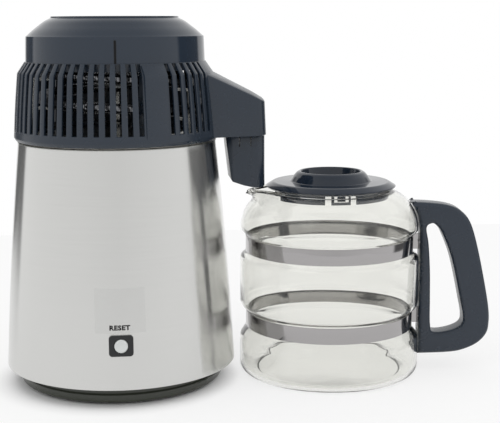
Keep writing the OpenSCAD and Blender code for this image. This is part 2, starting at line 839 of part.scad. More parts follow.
module mains_leads() {
    color("#3b3b3d") {
        wire([[-7, inlet_back, inlet_z], [-22, 72, inlet_z - 4], [-52, 55, inlet_z - 8],
            [-72, 10, inlet_z - 8], [-66, -40, inlet_z - 6], [-36, -72, inlet_z - 2],
            [-12, -switch_back + 4, button_z - 6], [-5, -switch_back, button_z]], lead_d);
        wire([[5, -switch_back, button_z], [10, -76, button_z - 8], [22, -50, button_z - 12],
            [26, -22, disc_z - 14], [disc_x, -8, disc_z - 11], [disc_x, -4, disc_z - 5.7]], lead_d);
        wire([[disc_x, 4, disc_z - 5.7], [14, 10, disc_z - 12], [0, 16, disc_z - 14],
            [-14, 10, disc_z - 12], [-disc_x, 4, disc_z - 5.7]], lead_d);
        wire([[-disc_x, -4, disc_z - 5.7], [-26, -8, disc_z - 12], [-36, 10, disc_z - 14],
            [-26, 36, cold_pin_z - 8], [-cold_x, cold_y, cold_pin_z - 1.5]], lead_d);
        wire([[cold_x, cold_y, cold_pin_z - 1.5], [cold_x + 2, cold_y + 6, cold_pin_z - 8],
            [16, 66, inlet_z + 2], [7, inlet_back, inlet_z]], lead_d);
    }
    color("#6aa84f") wire([[0, inlet_back, inlet_z + 4], [0, 70, inlet_z + 5],
        [2, 50, clamp_z - 12], [2, 43, clamp_z - 4], [0, 37, clamp_z - 1.5]], lead_d);
}

module fan_leads() {
    y_low = shell_r(inlet_z + 40) - 9;
    y_top = shell_top_r - 6.2;
    color("#3b3b3d") for (s = [-1, 1])
        wire([[s * 9.2, inlet_back + 1, inlet_z - 1], [s * 11, inlet_back + 2, inlet_z + 14],
            [s * 10, y_low - 4, inlet_z + 30], [s * 9, y_low, inlet_z + 50],
            [s * 8, y_top + 4, socket_z - 90], [s * 7.5, y_top + 1, socket_z - 30],
            [s * 7, y_top, socket_z - 4], [s * 6.95, y_top + 0.8, socket_z + 1.2]], fan_lead_d);
}

module motor_leads() {
    z = spigot_low_z + 1.45;
    y = rim_r - 9.6;
    color("#3b3b3d") wire([[-contact_x, y, z], [-7, y - 10, z + 2], [-14, 56, z + 6],
        [-14, 26, z + 22], [-9, 12, bracket_z - motor_h - 2]], fan_lead_d);
    color("#222222") wire([[contact_x, y, z], [5, y - 10, z + 2], [-6, 60, z + 5],
        [-4, 36, z + 14], [0, 14, bracket_z - motor_h - 2]], fan_lead_d);
}

// Head housing

ring_outline = [[rim_r - 2, ring_z], [rim_r, ring_z + 3.5], [rim_r - 0.6, ring_z + 11],
    [rim_r - 2.7, ring_z + 39], [rim_r - 4.1, ring_z + 54], [knee_r, knee_z],
    [slope_r, drum_z]];
ring_inner = [[neck_in_r, drum_z + 4.7], [neck_in_r, drum_z - 6.3],
    [knee_r - ring_t - 0.2, knee_z - 3], [rim_r - 4.1 - ring_t, ring_z + 54],
    [rim_r - 2.7 - ring_t, ring_z + 39], [rim_r - 0.6 - ring_t, ring_z + 11],
    [rim_r - 2 - ring_t, ring_z + 3], [rim_r - 2 - ring_t, ring_z]];

slot_azimuths = [for (k = [-30:30]) let (a = slot_phase + slot_pitch * k)
    if (abs(a) < 180 - rear_wall_hw && abs(a - blank_az) > 5 && abs(a - 90) > 27) a];

// The arm's plan, drawn in by the given inset
function arm_side_y(x, inset) =
    arm_root_hw - (x - arm_x0) * tan(arm_taper) - inset / cos(arm_taper);

function arm_plan(inset) = let (
        r = arm_corner - inset,
        cx = arm_x1 - arm_corner,
        cy = arm_side_y(cx, 0) - arm_corner / cos(arm_taper),
        x = arm_x0 - 20,
        half = concat([[x, arm_side_y(x, inset)]],
            arc([cx, cy], r, 90 - arm_taper, 0, 8)))
    concat(half, [for (p = flip(half)) [p[0], -p[1]]]);

module arm_form(inset) {
    intersection() {
        translate([0, 0, arm_z + inset]) linear_extrude(100) polygon(arm_plan(inset));
        upright(200) polygon([[arm_x0 - 30, arm_z + inset], [arm_x1 - 3 - inset, arm_z + inset],
            [arm_x1 - inset, arm_z + 2.7 + inset / 2], [arm_x1 - inset, arm_z + 4.5],
            [arm_x1 - 2.2 - inset, ring_z + arm_end_h], [arm_x1 - 2.2 - inset, ring_z + 90],
            [arm_x0 - 30, ring_z + 90]]);
        translate([arm_x0, 0, ring_z + arm_root_h]) rotate([0, arm_slope, 0])
            translate([-100, 0, -arm_crown_r]) rotate([0, 90, 0])
                cylinder(r = arm_crown_r - inset, h = 300);
    }
}

// The nozzle cup's plan, drawn in by the given inset
module cup_plan(inset) {
    translate([(cup_x0 + cup_x1) / 2, 0])
        rounded_rect(cup_l - 2 * inset, cup_w - 2 * inset, cup_corner - inset);
}

// The slotted ring and its spigot as one full turned form
module ring_form() {
    rotate_extrude() polygon(concat([[0, ring_z]], ring_outline,
        [[neck_out_r, drum_z], [neck_out_r, drum_z + 4.7], [0, drum_z + 4.7]]));
}

module spout_arm() {
    color(plastic) difference() {
        arm_form(0);
        ring_form();
        arm_form(arm_t);
        translate([0, 0, arm_z - 1]) linear_extrude(arm_t + 2)
            translate([(cup_x0 + cup_x1) / 2, 0]) rounded_rect(
                cup_l - 2 * (collar_inset - push_gap), cup_w - 2 * (collar_inset - push_gap),
                cup_corner - collar_inset + push_gap);
    }
}

module louver_housing() {
    color(plastic) difference() {
        union() {
            difference() {
                union() {
                    ring_form();
                    radial_plate(blank_az, blank_w) polygon([[80, ring_z + 5],
                        [rim_r, ring_z + 5], [rim_r - 0.2, ring_z + 11],
                        [knee_r + 0.5, knee_z + 0.4], [slope_r + 2, drum_z - 2],
                        [80, drum_z - 2]]);
                }
                rotate_extrude() polygon(concat([[0, drum_z + 5]], [[neck_in_r, drum_z + 5]],
                    ring_inner, [[rim_r - 2 - ring_t, ring_z - 1], [0, ring_z - 1]]));
                arm_form(arm_t);
                for (a = slot_azimuths) rotate([0, 0, a])
                    translate([-slot_w / 2, -rim_r - 10, slot_low_z])
                        cube([slot_w, rim_r + 10 - slot_in_r, slot_top_z - slot_low_z]);
            }
            translate([0, 0, flange_z]) tube(rim_r - 1.5 - ring_t, flange_in_r, flange_t);
            for (a = [30:90:300]) at_azimuth(a, plate_screw_r, flange_z) cylinder(r = 3.5, h = 8);
            for (a = [45:90:315]) intersection() {
                at_azimuth(a, cover_screw_r, tab_z) {
                    cylinder(r = 5, h = tab_t);
                    translate([-5, -6, 0]) cube([10, 6, tab_t]);
                }
                translate([0, 0, tab_z]) cylinder(r = neck_in_r + 1, h = tab_t);
            }
        }
        for (a = [30:90:300]) at_azimuth(a, plate_screw_r, 0)
            cylinder(d = 3 + 2 * run_fit, h = flange_z + 6.5);
        for (a = [45:90:315]) at_azimuth(a, cover_screw_r, tab_z - 1)
            cylinder(d = 3.4, h = tab_t + 2);
        translate([-9.2, 60, spigot_low_z - 0.1])
            cube([18.4, 60, spigot_top_z - spigot_low_z + 0.2]);
    }
}

dome_outline = [[drum_r - 0.3, drum_z], [drum_r - 1.1, drum_top_z],
    [drum_r - 2.8, drum_top_z + 1.4], [drum_r - 8.1, drum_top_z + 6.2],
    [drum_r - 13, drum_top_z + 10], [drum_r - 19.3, drum_top_z + 14.9],
    [top_open_r + 1.6, top_z - 1.2], [top_open_r + 0.9, top_z], [top_open_r, top_z]];
dome_inner = [[top_open_r, grille_z], [ledge_in_r, grille_z], [ledge_in_r, grille_z - 2.5],
    [drum_r - 19.3 - 1.5, drum_top_z + 14.9 - 3.4], [drum_r - 13 - 1.7, drum_top_z + 7.4],
    [drum_r - 8.1 - 1.8, drum_top_z + 3.6], [drum_r - 3.8, drum_top_z - 1.8],
    [drum_r - cover_t, drum_z]];

module head_cover() {
    color(gloss_plastic) difference() {
        union() {
            rotate_extrude() polygon(concat(dome_outline, dome_inner));
            intersection() {
                rotate_extrude() polygon(concat([[0, drum_z]], dome_outline, [[0, top_z]]));
                union() {
                    for (a = [45:90:315]) at_azimuth(a, cover_screw_r, tab_z + tab_t)
                        cylinder(r = 4, h = drum_top_z + 6 - tab_z - tab_t);
                    for (a = [0:120:240]) at_azimuth(a, bracket_screw_r, bracket_z + bracket_t)
                        cylinder(r = 4, h = drum_top_z + 6 - bracket_z - bracket_t);
                }
            }
        }
        for (a = [45:90:315]) at_azimuth(a, cover_screw_r, tab_z)
            cylinder(d = 3 + 2 * run_fit, h = 14);
        for (a = [0:120:240]) at_azimuth(a, bracket_screw_r, bracket_z)
            cylinder(d = 3 + 2 * run_fit, h = 12);
    }
}

module cover_screws() {
    color(steel) for (a = [45:90:315]) at_azimuth(a, cover_screw_r, tab_z)
        mirror([0, 0, 1]) screw(3, 13, 5.6, 2.2);
}

module bracket_screws() {
    color(steel) for (a = [0:120:240]) at_azimuth(a, bracket_screw_r, bracket_z)
        mirror([0, 0, 1]) screw(3, 11, 5.6, 2.2);
}

module plate_screws() {
    color(steel) for (a = [30:90:300]) at_azimuth(a, plate_screw_r, plate_z)
        mirror([0, 0, 1]) screw(3, 6.5, 5.6, 1.8);
}

module head_gasket() {
    color("#d8d6cf") translate([0, 0, plate_z - gasket_h])
        tube(plate_r - 0.5, plate_r - 8, gasket_h);
}

module steam_plate() {
    color(steel) difference() {
        rotate_extrude() polygon([[0, raised_z], [raised_r, raised_z], [flange_in_r - 2, plate_z],
            [plate_r, plate_z], [plate_r, plate_z + plate_t],
            [flange_in_r - 2.2, plate_z + plate_t], [raised_r - 0.2, raised_z + plate_t],
            [0, raised_z + plate_t]]);
        translate([steam_x, steam_y, raised_z - 1]) cylinder(d = tube_d + 2 * push_gap, h = 4);
        for (a = [30:90:300]) at_azimuth(a, plate_screw_r, plate_z - 1) cylinder(d = 3.4, h = 4);
    }
}

// Fan and motor

motor_z = bracket_z - motor_h;

module fan_motor() {
    color("#7e8286") difference() {
        union() {
            translate([0, 0, motor_z + 2]) cylinder(r = motor_r, h = motor_h - 2);
            translate([0, 0, motor_z]) cylinder(r1 = motor_r - 2, r2 = motor_r, h = 2);
            translate([0, 0, motor_z - 3]) cylinder(r = 7, h = 3 + eps);
            translate([0, 0, bracket_z - eps]) cylinder(r = 6, h = bracket_t + 1.5);
            for (p = [[-9, 12], [0, 14]]) translate([p[0] - 1.5, p[1] - 0.4, motor_z - 1])
                cube([3, 0.8, 1.5]);
        }
        translate([0, 0, motor_z - 4]) cylinder(d = shaft_d + 2 * run_fit, h = motor_h + 12);
        for (a = [0:30:330]) at_azimuth(a, motor_r, motor_z + 8)
            translate([-1.5, -1, 0]) cube([3, 3, motor_h - 16]);
    }
}

module motor_bracket() {
    color(plastic) difference() {
        union() {
            translate([0, 0, bracket_z]) cylinder(r = motor_r + 3, h = bracket_t);
            for (a = [0:120:240]) {
                radial_plate(a, 9) polygon([[motor_r, bracket_z],
                    [bracket_screw_r, bracket_z], [bracket_screw_r, bracket_z + bracket_t],
                    [motor_r, bracket_z + bracket_t]]);
                radial_plate(a, 2.4) polygon([[motor_r - 2, bracket_z + 1],
                    [bracket_screw_r - 6, bracket_z + 1],
                    [bracket_screw_r - 6, bracket_z + bracket_t + 1.5],
                    [motor_r - 2, bracket_z + bracket_t + 1.5]]);
                at_azimuth(a, bracket_screw_r, bracket_z) cylinder(r = 4.5, h = bracket_t);
            }
        }
        translate([0, 0, bracket_z - 1]) cylinder(r = 6 + push_gap, h = 8);
        for (a = [0:120:240]) at_azimuth(a, bracket_screw_r, bracket_z - 1)
            cylinder(d = 3.4, h = 8);
    }
}

module motor_shaft() {
    color(steel) translate([0, 0, motor_z - 2])
        cylinder(d = shaft_d, h = fan_z + fan_h + 2 - motor_z);
}

module fan_blade() {
    color("#2c3034") difference() {
        union() {
            translate([0, 0, fan_z]) difference() {
                cylinder(r = hub_r, h = fan_h - 2);
                translate([0, 0, -1]) cylinder(r = hub_r - 2, h = fan_h - 4);
            }
            translate([0, 0, fan_z + 1]) cylinder(r = shaft_d / 2 + 3, h = fan_h - 4);
            intersection() {
                translate([0, 0, fan_z]) tube(fan_r, hub_r - 1, fan_h - 1);
                union() {
                    for (i = [0:fan_count - 1]) rotate([0, 0, 360 * i / fan_count])
                        translate([0, -(fan_r + hub_r) / 2, fan_z + fan_h / 2 - 0.5])
                            rotate([0, fan_pitch, 0]) cube([30, fan_r, 1.8], center = true);
                }
            }
        }
        translate([0, 0, fan_z - 2]) cylinder(d = shaft_d + 2 * run_fit, h = fan_h + 4);
    }
}

module blade_clip() {
    color(steel) translate([0, 0, fan_z + fan_h - 2])
        tube(shaft_d / 2 + 3.5, shaft_d / 2 + run_fit, 1);
}

module fan_grille() {
    rings = 6;
    gap = (top_open_r - 4.5 - 12) / rings;
    color(plastic) translate([0, 0, grille_z]) {
        difference() {
            cylinder(r = top_open_r - seat_gap, h = grille_t);
            for (i = [0:rings - 1]) translate([0, 0, -1])
                tube(12 + gap * (i + 1) - 1.2, 12 + gap * i + 1.2, grille_t + 2);
            translate([0, 0, grille_t - 1]) tube(9, 7.5, 2);
        }
        for (a = [0:36:324]) rotate([0, 0, a]) translate([-1.1, -top_open_r + 3, 0])
            cube([2.2, top_open_r - 13, grille_t - 0.6]);
    }
}

// Condenser coil

rib_step = 2.5;
coil_low_az = acos(coil_bend_r / (coil_r + coil_bend_r));
coil_in_az = -coil_wind;
coil_top_az = -coil_wind - inward_wind;
coil_exit_x = (coil_r + coil_bend_r) * sin(coil_low_az);

// From 0 to 1, with level ends
function ease(t) = let (u = min(max(t, 0), 1)) u * u * (3 - 2 * u);

function coil_radius(az) = coil_r + (inner_r - coil_r) * ease((coil_in_az - az) / inward_wind);

function coil_z(az) = ring_z + coil_low - coil_pitch * max(az, coil_in_az) / 360;

function coil_point(az) =
    [coil_radius(az) * sin(az), -coil_radius(az) * cos(az), coil_z(az)];

function coil_tangent(az) = unit(coil_point(az - 0.5) - coil_point(az + 0.5));

coil_low_z = coil_z(coil_low_az);
coil_steps = floor((coil_low_az - coil_top_az) / rib_step);
coil_azimuths = [for (i = [0:coil_steps])
    coil_low_az + (coil_top_az - coil_low_az) * i / coil_steps];
bend_steps = 5;
low_end = concat([[coil_exit_x + tube_d, 0, coil_low_z]],
    [for (i = [0:bend_steps - 1]) let (h = coil_low_az * i / bend_steps)
        [coil_exit_x - coil_bend_r * sin(h), coil_bend_r * (cos(h) - 1), coil_low_z]]);
top_point = coil_point(coil_top_az);
top_run = unit([-cos(coil_top_az), -sin(coil_top_az), 0]);
coil_centres = concat(low_end, [for (a = coil_azimuths) coil_point(a)],
    [top_point + top_run * tube_d]);
coil_tangents = concat([[-1, 0, 0], [-1, 0, 0]],
    [for (i = [1:bend_steps - 1]) let (h = coil_low_az * i / bend_steps)
        [-cos(h), -sin(h), 0]],
    [for (a = coil_azimuths) a == coil_azimuths[coil_steps] ? top_run : coil_tangent(a)],
    [top_run]);
coil_sides = [for (t = coil_tangents) unit(cross(t, [0, 0, 1]))];
coil_radii = concat([for (p = low_end) tube_d / 2],
    [for (i = [0:coil_steps])
        i > 0 && i < coil_steps && i % 2 == 1 ? rib_d / 2 : tube_d / 2],
    [tube_d / 2]);
rings_in_turn = round(360 / rib_step);
coil_gap = min([for (i = [0:len(coil_centres) - 1],
        j = [i + rings_in_turn / 2:2:min(i + rings_in_turn * 1.5, len(coil_centres) - 1)])
    norm(coil_centres[i] - coil_centres[j]) - rib_d]);
echo("least gap of the coil to itself, mm", coil_gap);

module condenser_coil() {
    color(steel) ring_tube(coil_centres, coil_tangents, coil_sides, coil_radii, 8);
}

steam_x = top_point[0] + top_run[0] * (tube_d + pipe_bend_r);
steam_y = top_point[1] + top_run[1] * (tube_d + pipe_bend_r);
pipe_top_z = top_point[2] - pipe_bend_r;

module pipe_bend() {
    translate([0, 0, -pipe_bend_r]) rotate([0, -90, -90]) rotate_extrude(angle = 90)
        translate([pipe_bend_r, 0]) difference() {
            circle(d = tube_d);
            circle(d = tube_d - 2 * pipe_t);
        }
}

// A straight length whose upper end is swaged thinner and pushed a little way into a bend
module straight_pipe(l) {
    tube(tube_d / 2 - swage, tube_d / 2 - pipe_t + swage, l + swage_l);
}

module steam_pipe() {
    low_z = raised_z - 3;
    color(steel) {
        translate(top_point + top_run * tube_d)
            rotate([0, 0, atan2(top_run[1], top_run[0])]) pipe_bend();
        translate([steam_x, steam_y, low_z]) straight_pipe(pipe_top_z - low_z);
        translate([steam_x, steam_y, raised_z + plate_t])
            tube(tube_d / 2 + 3, tube_d / 2 - pipe_t / 2, 2);
    }
}

swage = 0.05;
swage_l = 0.4;
drip_low_z = arm_z + 1;

module drip_pipe() {
    start_x = coil_exit_x + tube_d;
    bend_x = drip_x - pipe_bend_r;
    color(steel) {
        translate([start_x, 0, coil_low_z]) rotate([0, 90, 0])
            straight_pipe(bend_x - start_x);
        translate([bend_x, 0, coil_low_z]) pipe_bend();
        translate([drip_x, 0, drip_low_z])
            straight_pipe(coil_low_z - pipe_bend_r - drip_low_z);
    }
}

clip_azimuths = [60, -75, 180];
clip_w = 4;
clip_out_r = flange_in_r + 6;

// A comb that stands on the ring's flange and reaches under each row of the coil
module coil_clip(az) {
    rows = [for (k = [-2:1]) let (a = az + 360 * k)
        if (a < coil_low_az && a > coil_in_az) coil_z(a) - rib_d / 2 - 0.35];
    radial_plate(az, clip_w) {
        translate([clip_out_r - 4, flange_z + flange_t])
            square([4, max(rows) - flange_z - flange_t]);
        for (z = rows) translate([coil_r - 5, z - 3]) square([clip_out_r - coil_r + 5, 3]);
        translate([clip_out_r - 8, flange_z + flange_t]) square([8, 3]);
    }
}

module coil_clips() {
    color(plastic) for (a = clip_azimuths) coil_clip(a);
}

// Nozzle

function cup_profile(i) = [[cup_x0 + i, cup_top_z], [cup_x0 + 5.3 + i, cup_low_z + 8.4],
    [cup_x0 + 6.5 + 0.8 * i, cup_low_z + 6.5 + i], [cup_x0 + 17.7, cup_low_z + 2.6 + i],
    [cup_x0 + 29.3, cup_low_z + i], [cup_x1 - 2 - i, cup_low_z + 0.5 + i],
    [cup_x1 - i, cup_low_z + 2.2 + i], [cup_x1 - i, cup_top_z]];

module nozzle_cup() {
    slit_z = cup_top_z - 10.3;
    color(gloss_plastic) difference() {
        union() {
            intersection() {
                upright(cup_w + 10) polygon(cup_profile(0));
                translate([0, 0, cup_low_z - 5]) linear_extrude(far) cup_plan(0);
            }
            translate([0, 0, cup_top_z - eps]) linear_extrude(collar_h + eps)
                cup_plan(collar_inset);
        }
        intersection() {
            upright(cup_w + 10) polygon(cup_profile(cup_t));
            translate([0, 0, cup_low_z - 5]) linear_extrude(cup_top_z - 3 - cup_low_z + 5)
                cup_plan(cup_t);
        }
        translate([0, 0, cup_top_z - 4]) linear_extrude(20) cup_plan(bore_inset);
        translate([0, 0, basket_rim_z]) linear_extrude(20) cup_plan(basket_rim_inset - push_gap);
        translate([outlet_x, 0, cup_low_z - 2]) cylinder(d = outlet_d, h = 12);
        for (x = [13.4, 24.7]) translate([cup_x0 + x - 0.6, -cup_w / 2 - 1, slit_z])
            cube([1.2, bore_inset + 1.5, 30]);
    }
}

module filter_basket() {
    w = basket_x1 - basket_x0;
    color("#c9ccd0") difference() {
        union() {
            translate([basket_x, 0, basket_low_z])
                linear_extrude(basket_rim_z + basket_rim_t - basket_low_z)
                    rounded_rect(w, 2 * basket_hw, 4);
            translate([0, 0, basket_rim_z]) linear_extrude(basket_rim_t)
                cup_plan(basket_rim_inset);
        }
        translate([basket_x, 0, basket_low_z + basket_t]) linear_extrude(far)
            rounded_rect(w - 2 * basket_t, 2 * (basket_hw - basket_t), 2.6);
        for (y = [-8:4:8]) translate([basket_x - w / 2 + 4, y - 0.8, basket_low_z - 1])
            cube([w - 8, 1.6, 4]);
    }
}

// Carafe

module at_carafe() {
    translate([jar_x, jar_side, 0]) rotate([0, 0, jar_turn]) children();
}

// A groove for a band, as points of an outline from below to above
function groove(z, r_below, r_above, depth_r) = [[r_below, z - 18.2], [depth_r, z - 9.8],
    [depth_r, z + 9.8], [r_above, z + 14]];

glass_outer = concat([[0, 0.8], [jar_r - 19.4, 0.8], [jar_r - 15.4, 0]],
    arc([jar_r - jar_foot_r, jar_foot_r], jar_foot_r, -90, 0, 8),
    groove(band_low_z, jar_r, jar_r - 0.4, groove_r),
    [[jar_r - 0.4, band_high_z - 13.5], [groove_r, band_high_z - 9.4],
     [groove_r, band_high_z + 9.6]],
    arc([shoulder_max_r - shoulder_r, shoulder_z], shoulder_r, -3, shoulder_end, 14),
    [[neck_r, jar_h - 0.8], [neck_r - 0.8, jar_h], [neck_in + 0.8, jar_h],
     [neck_in, jar_h - 0.8]]);
inner_end = acos((neck_in - shoulder_max_r + shoulder_r) / (shoulder_r - glass_t));
glass_inner = concat(
    arc([shoulder_max_r - shoulder_r, shoulder_z], shoulder_r - glass_t, inner_end, -3, 14),
    [[groove_r - glass_t, band_high_z + 10.8], [groove_r - glass_t, band_high_z - 10.6],
     [jar_in_r - 0.4, band_high_z - 14.8], [jar_in_r - 0.4, band_low_z + 15.4],
     [groove_r - glass_t, band_low_z + 11], [groove_r - glass_t, band_low_z - 11],
     [jar_in_r, band_low_z - 19]],
    arc([jar_in_r - 8, glass_floor + 8], 8, 0, -90, 8),
    [[0, glass_floor]]);

// Plan of the pouring lip: the neck and the tip's circle, joined by straight sides
module lip_plan(neck, tip, inset) {
    reach = lip_reach - tip - inset;
    a = acos((neck - tip) / reach) - 0.4;
    circle(neck);
    translate([-reach, 0]) circle(tip);
    polygon([[-neck * cos(a), neck * sin(a)], [-reach - tip * cos(a), tip * sin(a)],
        [-reach - tip * cos(a), -tip * sin(a)], [-neck * cos(a), -neck * sin(a)]]);
}

// The lip starts inside the shoulder's wall at lip_root and flares up to its tip
shoulder_c = [shoulder_max_r - shoulder_r, shoulder_z];
lip_root = [lip_reach - 7.1, jar_h - 11];
lip_low_a = acos((lip_root[0] - 1.3 - shoulder_c[0]) / (shoulder_r - glass_t / 2));
lip_high_a = acos((neck_in - shoulder_c[0]) / (shoulder_r - glass_t / 2));
lip_form = concat(arc(shoulder_c, shoulder_r - glass_t / 2, lip_high_a, lip_low_a, 6),
    [lip_root, [lip_reach, jar_h - 0.8], [lip_reach, jar_h + 2], [neck_in, jar_h + 2]]);
lip_hollow = [[0, jar_h - 16], [lip_root[0] - 5.3, jar_h - 16], [lip_root[0] - 3.3, jar_h - 13],
    lip_root + glass_t * [-0.82, 0.57], [lip_reach - 2.46, jar_h + 0.9],
    [lip_reach - 2.46, jar_h + 5], [0, jar_h + 5]];

module carafe_glass() {
    color([0.85, 0.92, 0.9, 0.35]) at_carafe() difference() {
        union() {
            rotate_extrude() polygon(concat(glass_outer, glass_inner));
            intersection() {
                translate([0, 0, jar_h - 30]) linear_extrude(30) lip_plan(lip_plan_r, lip_tip_r, 0);
                rotate_extrude() polygon(lip_form);
                radial_plate(-90, 2 * neck_r) polygon([[0, jar_h - 30], [lip_reach + 5, jar_h - 30],
                    [lip_reach + 5, jar_h - lip_fall * 1.25], [neck_r, jar_h - 0.05],
                    [0, jar_h - 0.05]]);
            }
        }
        intersection() {
            translate([0, 0, jar_h - 40]) linear_extrude(60)
                lip_plan(lip_plan_r - glass_t, lip_tip_r - glass_t + 0.4, glass_t);
            rotate_extrude() polygon(lip_hollow);
        }
    }
}

module band(z) {
    color("#b9b4b6") at_carafe() translate([0, 0, z - band_w / 2]) difference() {
        union() {
            difference() {
                tube(band_out_r, band_in_r, band_w);
                translate([0, -ear_gap, -1]) cube([far, 2 * ear_gap, band_w + 2]);
            }
            for (s = [0, 1]) mirror([0, s, 0]) translate([band_in_r, ear_gap, 0])
                cube([ear_u1 - band_in_r, ear_t, band_w]);
        }
        translate([band_screw_u, 0, band_w / 2]) rotate([90, 0, 0])
            cylinder(d = band_screw_d + 2 * push_gap, h = 20, center = true);
    }
}

module upper_band() {
    band(band_high_z);
}

module lower_band() {
    band(band_low_z);
}

// Handle outlines: distance from the glass and height
grip_outer = [[-9.4, 177.5], [9.6, 174.7], [29.9, 171.2], [40.2, 165.3], [50.7, 153.6],
    [56.9, 131.7], [66.2, 95.2], [72.4, 66], [73.4, 50], [70.5, 39], [61, 29], [46, 22.6],
    [30, 19.8], [0.3, 18.2]];
grip_opening = [[12.1, 153.6], [6.8, 149], [9.3, 132], [11.2, 105], [11.9, 74.4],
    [12.5, 48], [15.7, 41], [30.5, 42.6], [42.3, 47.8], [44.2, 55.2], [40.6, 74.3],
    [31.3, 116.2], [21.5, 143.3], [16.2, 151.5]];

module carafe_handle() {
    outer = [for (p = smooth_open(grip_outer, 4)) p + [jar_r, 0]];
    inner = concat([[jar_r + seat_gap, shoulder_z - 8]],
        arc([shoulder_max_r - shoulder_r, shoulder_z], shoulder_r + 0.4 + seat_gap, 5,
            acos((jar_r - 9.4 - shoulder_max_r + shoulder_r) / (shoulder_r + 0.4 + seat_gap)), 8));
    color(plastic) at_carafe() difference() {
        upright(handle_w) difference() {
            polygon(concat(outer, inner));
            polygon([for (p = smooth_loop(grip_opening, 4)) p + [jar_r, 0]]);
        }
        for (z = [band_low_z, band_high_z]) {
            translate([jar_r - 2, -ear_gap - ear_t - 0.4, z - band_w / 2 - 0.4])
                cube([ear_u1 - jar_r + 2.3, 2 * (ear_gap + ear_t + 0.4), band_w + 0.8]);
            translate([band_screw_u, 0, z]) rotate([90, 0, 0]) {
                translate([0, 0, -handle_w]) cylinder(d = band_screw_d + 0.4, h = handle_w + 8.5);
                translate([0, 0, -handle_w]) cylinder(d = 5.8, h = handle_w - 8);
                translate([0, 0, 5.45]) hex(5.6, 3.1);
            }
        }
    }
}

module band_screws() {
    color(steel) at_carafe() for (z = [band_low_z, band_high_z])
        translate([band_screw_u, 8, z]) rotate([-90, 0, 0]) screw(band_screw_d, 16, 5.4, 2);
}

module band_nuts() {
    color(brass) at_carafe() for (z = [band_low_z, band_high_z])
        translate([band_screw_u, 0, z]) rotate([90, 0, 0]) translate([0, 0, 5.5]) difference() {
            hex(5.5, 3);
            translate([0, 0, -1]) cylinder(d = band_screw_d + 2 * run_fit, h = 5);
        }
}

// Lid

lid_z = jar_h + seat_gap;
lid_top_z = lid_z + 1.2 + lid_bevel_h;
lid_r = neck_r + lid_over;
skirt_r = neck_in - 1.2;
crown_in_r = crown_r - 10.4;
bowl_r = crown_in_r - 2.6;
bowl_z = lid_z + 2.5;
lid_join_r = crown_r + 2;
// Ring-shaped lid plate with its bevelled rim
plate_outline = [[lid_join_r, lid_top_z - lid_t], [skirt_r - lid_t, lid_top_z - lid_t],
    [skirt_r - lid_t, lid_z], [lid_r - 0.5, lid_z], [lid_r, lid_z + 1.2],
    [lid_r - 6.5, lid_top_z - 0.5], [lid_r - 7.5, lid_top_z], [lid_join_r, lid_top_z]];
// Raised ring with the sunk bowl inside it
crown_outline = [[lid_join_r, lid_top_z], [crown_r - 1, lid_top_z + 1],
    [crown_in_r + 2, lid_top_z + crown_h - 1], [crown_in_r, lid_top_z + crown_h],
    [crown_in_r - 1.6, lid_top_z + crown_h - 0.6], [bowl_r, bowl_z + lid_t + 1],
    [bowl_r - 1, bowl_z + lid_t], [lid_hole_d / 2, bowl_z + lid_t], [lid_hole_d / 2, bowl_z],
    [bowl_r + 1, bowl_z], [bowl_r + lid_t, bowl_z + 1],
    [crown_in_r + 0.4, lid_top_z + crown_h - 3], [crown_r - 3.4, lid_top_z - lid_t],
    [lid_join_r, lid_top_z - lid_t]];
// Azimuths of the cuts in the skirt: the pouring gap, and the two slits and the window of the clip
pour_gap = [-112.2, -67.8];
clip_slits = [[-15.4, -9.5], [9.3, 15.8]];
clip_window = [[-6.7, -3.5], [4, 7.8]];
clip_bridge = [-3.6, 4.1];

// A wedge from azimuth a0 to a1 that cuts the skirt between two heights
module skirt_cut(a0, a1, z0, z1) {
    translate([0, 0, z0]) rotate([0, 0, a0 - 90]) rotate_extrude(angle = a1 - a0)
        translate([skirt_r - 2 * lid_t, 0]) square([4 * lid_t, z1 - z0]);
}

module on_carafe() {
    translate([jar_x, jar_side, 0]) children();
}

module carafe_lid() {
    color(gloss_plastic) on_carafe() rotate_extrude() polygon(plate_outline);
}

module lid_crown() {
    color(gloss_plastic) on_carafe() rotate_extrude() polygon(crown_outline);
}

module lid_skirt() {
    low = jar_h - skirt_h;
    high = jar_h - 0.8;
    color(gloss_plastic) on_carafe() difference() {
        rotate_extrude() translate([skirt_r - lid_t, low]) square([lid_t, lid_z - low]);
        skirt_cut(pour_gap[0], pour_gap[1], low - 1, lid_z + 1);
        for (a = clip_slits) skirt_cut(a[0], a[1], low - 1, high);
        for (a = clip_window) skirt_cut(a[0], a[1], low + 1, high);
        skirt_cut(clip_bridge[0], clip_bridge[1], low + 1, low + 1.8);
    }
}

outer_shell();
base_pan();
rubber_feet();
boiling_pot();
pot_studs();
stud_nuts();
heat_spreader();
heater_element();
element_clamp();
shut_off_thermostat();
thermal_cutout();
reset_bezel();
reset_switch();
reset_spring();
reset_button();
power_inlet();
inlet_pins();
fan_socket();
socket_contacts();
mains_leads();
fan_leads();
louver_housing();
spout_arm();
head_cover();
fan_grille();
fan_motor();
motor_shaft();
motor_bracket();
bracket_screws();
fan_blade();
blade_clip();
condenser_coil();
steam_pipe();
drip_pipe();
coil_clips();
steam_plate();
head_gasket();
plate_screws();
cover_screws();
fan_plug();
plug_pins();
motor_leads();
nozzle_cup();
filter_basket();
carafe_glass();
upper_band();
lower_band();
carafe_handle();
band_screws();
band_nuts();
carafe_lid();
lid_crown();
lid_skirt();
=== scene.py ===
"""Looks of a countertop water distiller with a fan head, a steel boiler and a glass carafe.

Lengths are in millimetres and go to metres where a mesh is made. Azimuths run from -Y toward +X.
"""
import logging
import math
from dataclasses import dataclass
from enum import Enum
from typing import Any, Callable, Iterable, Optional, Sequence

import bmesh
import bpy
import numpy as np
from mathutils import Matrix, Vector


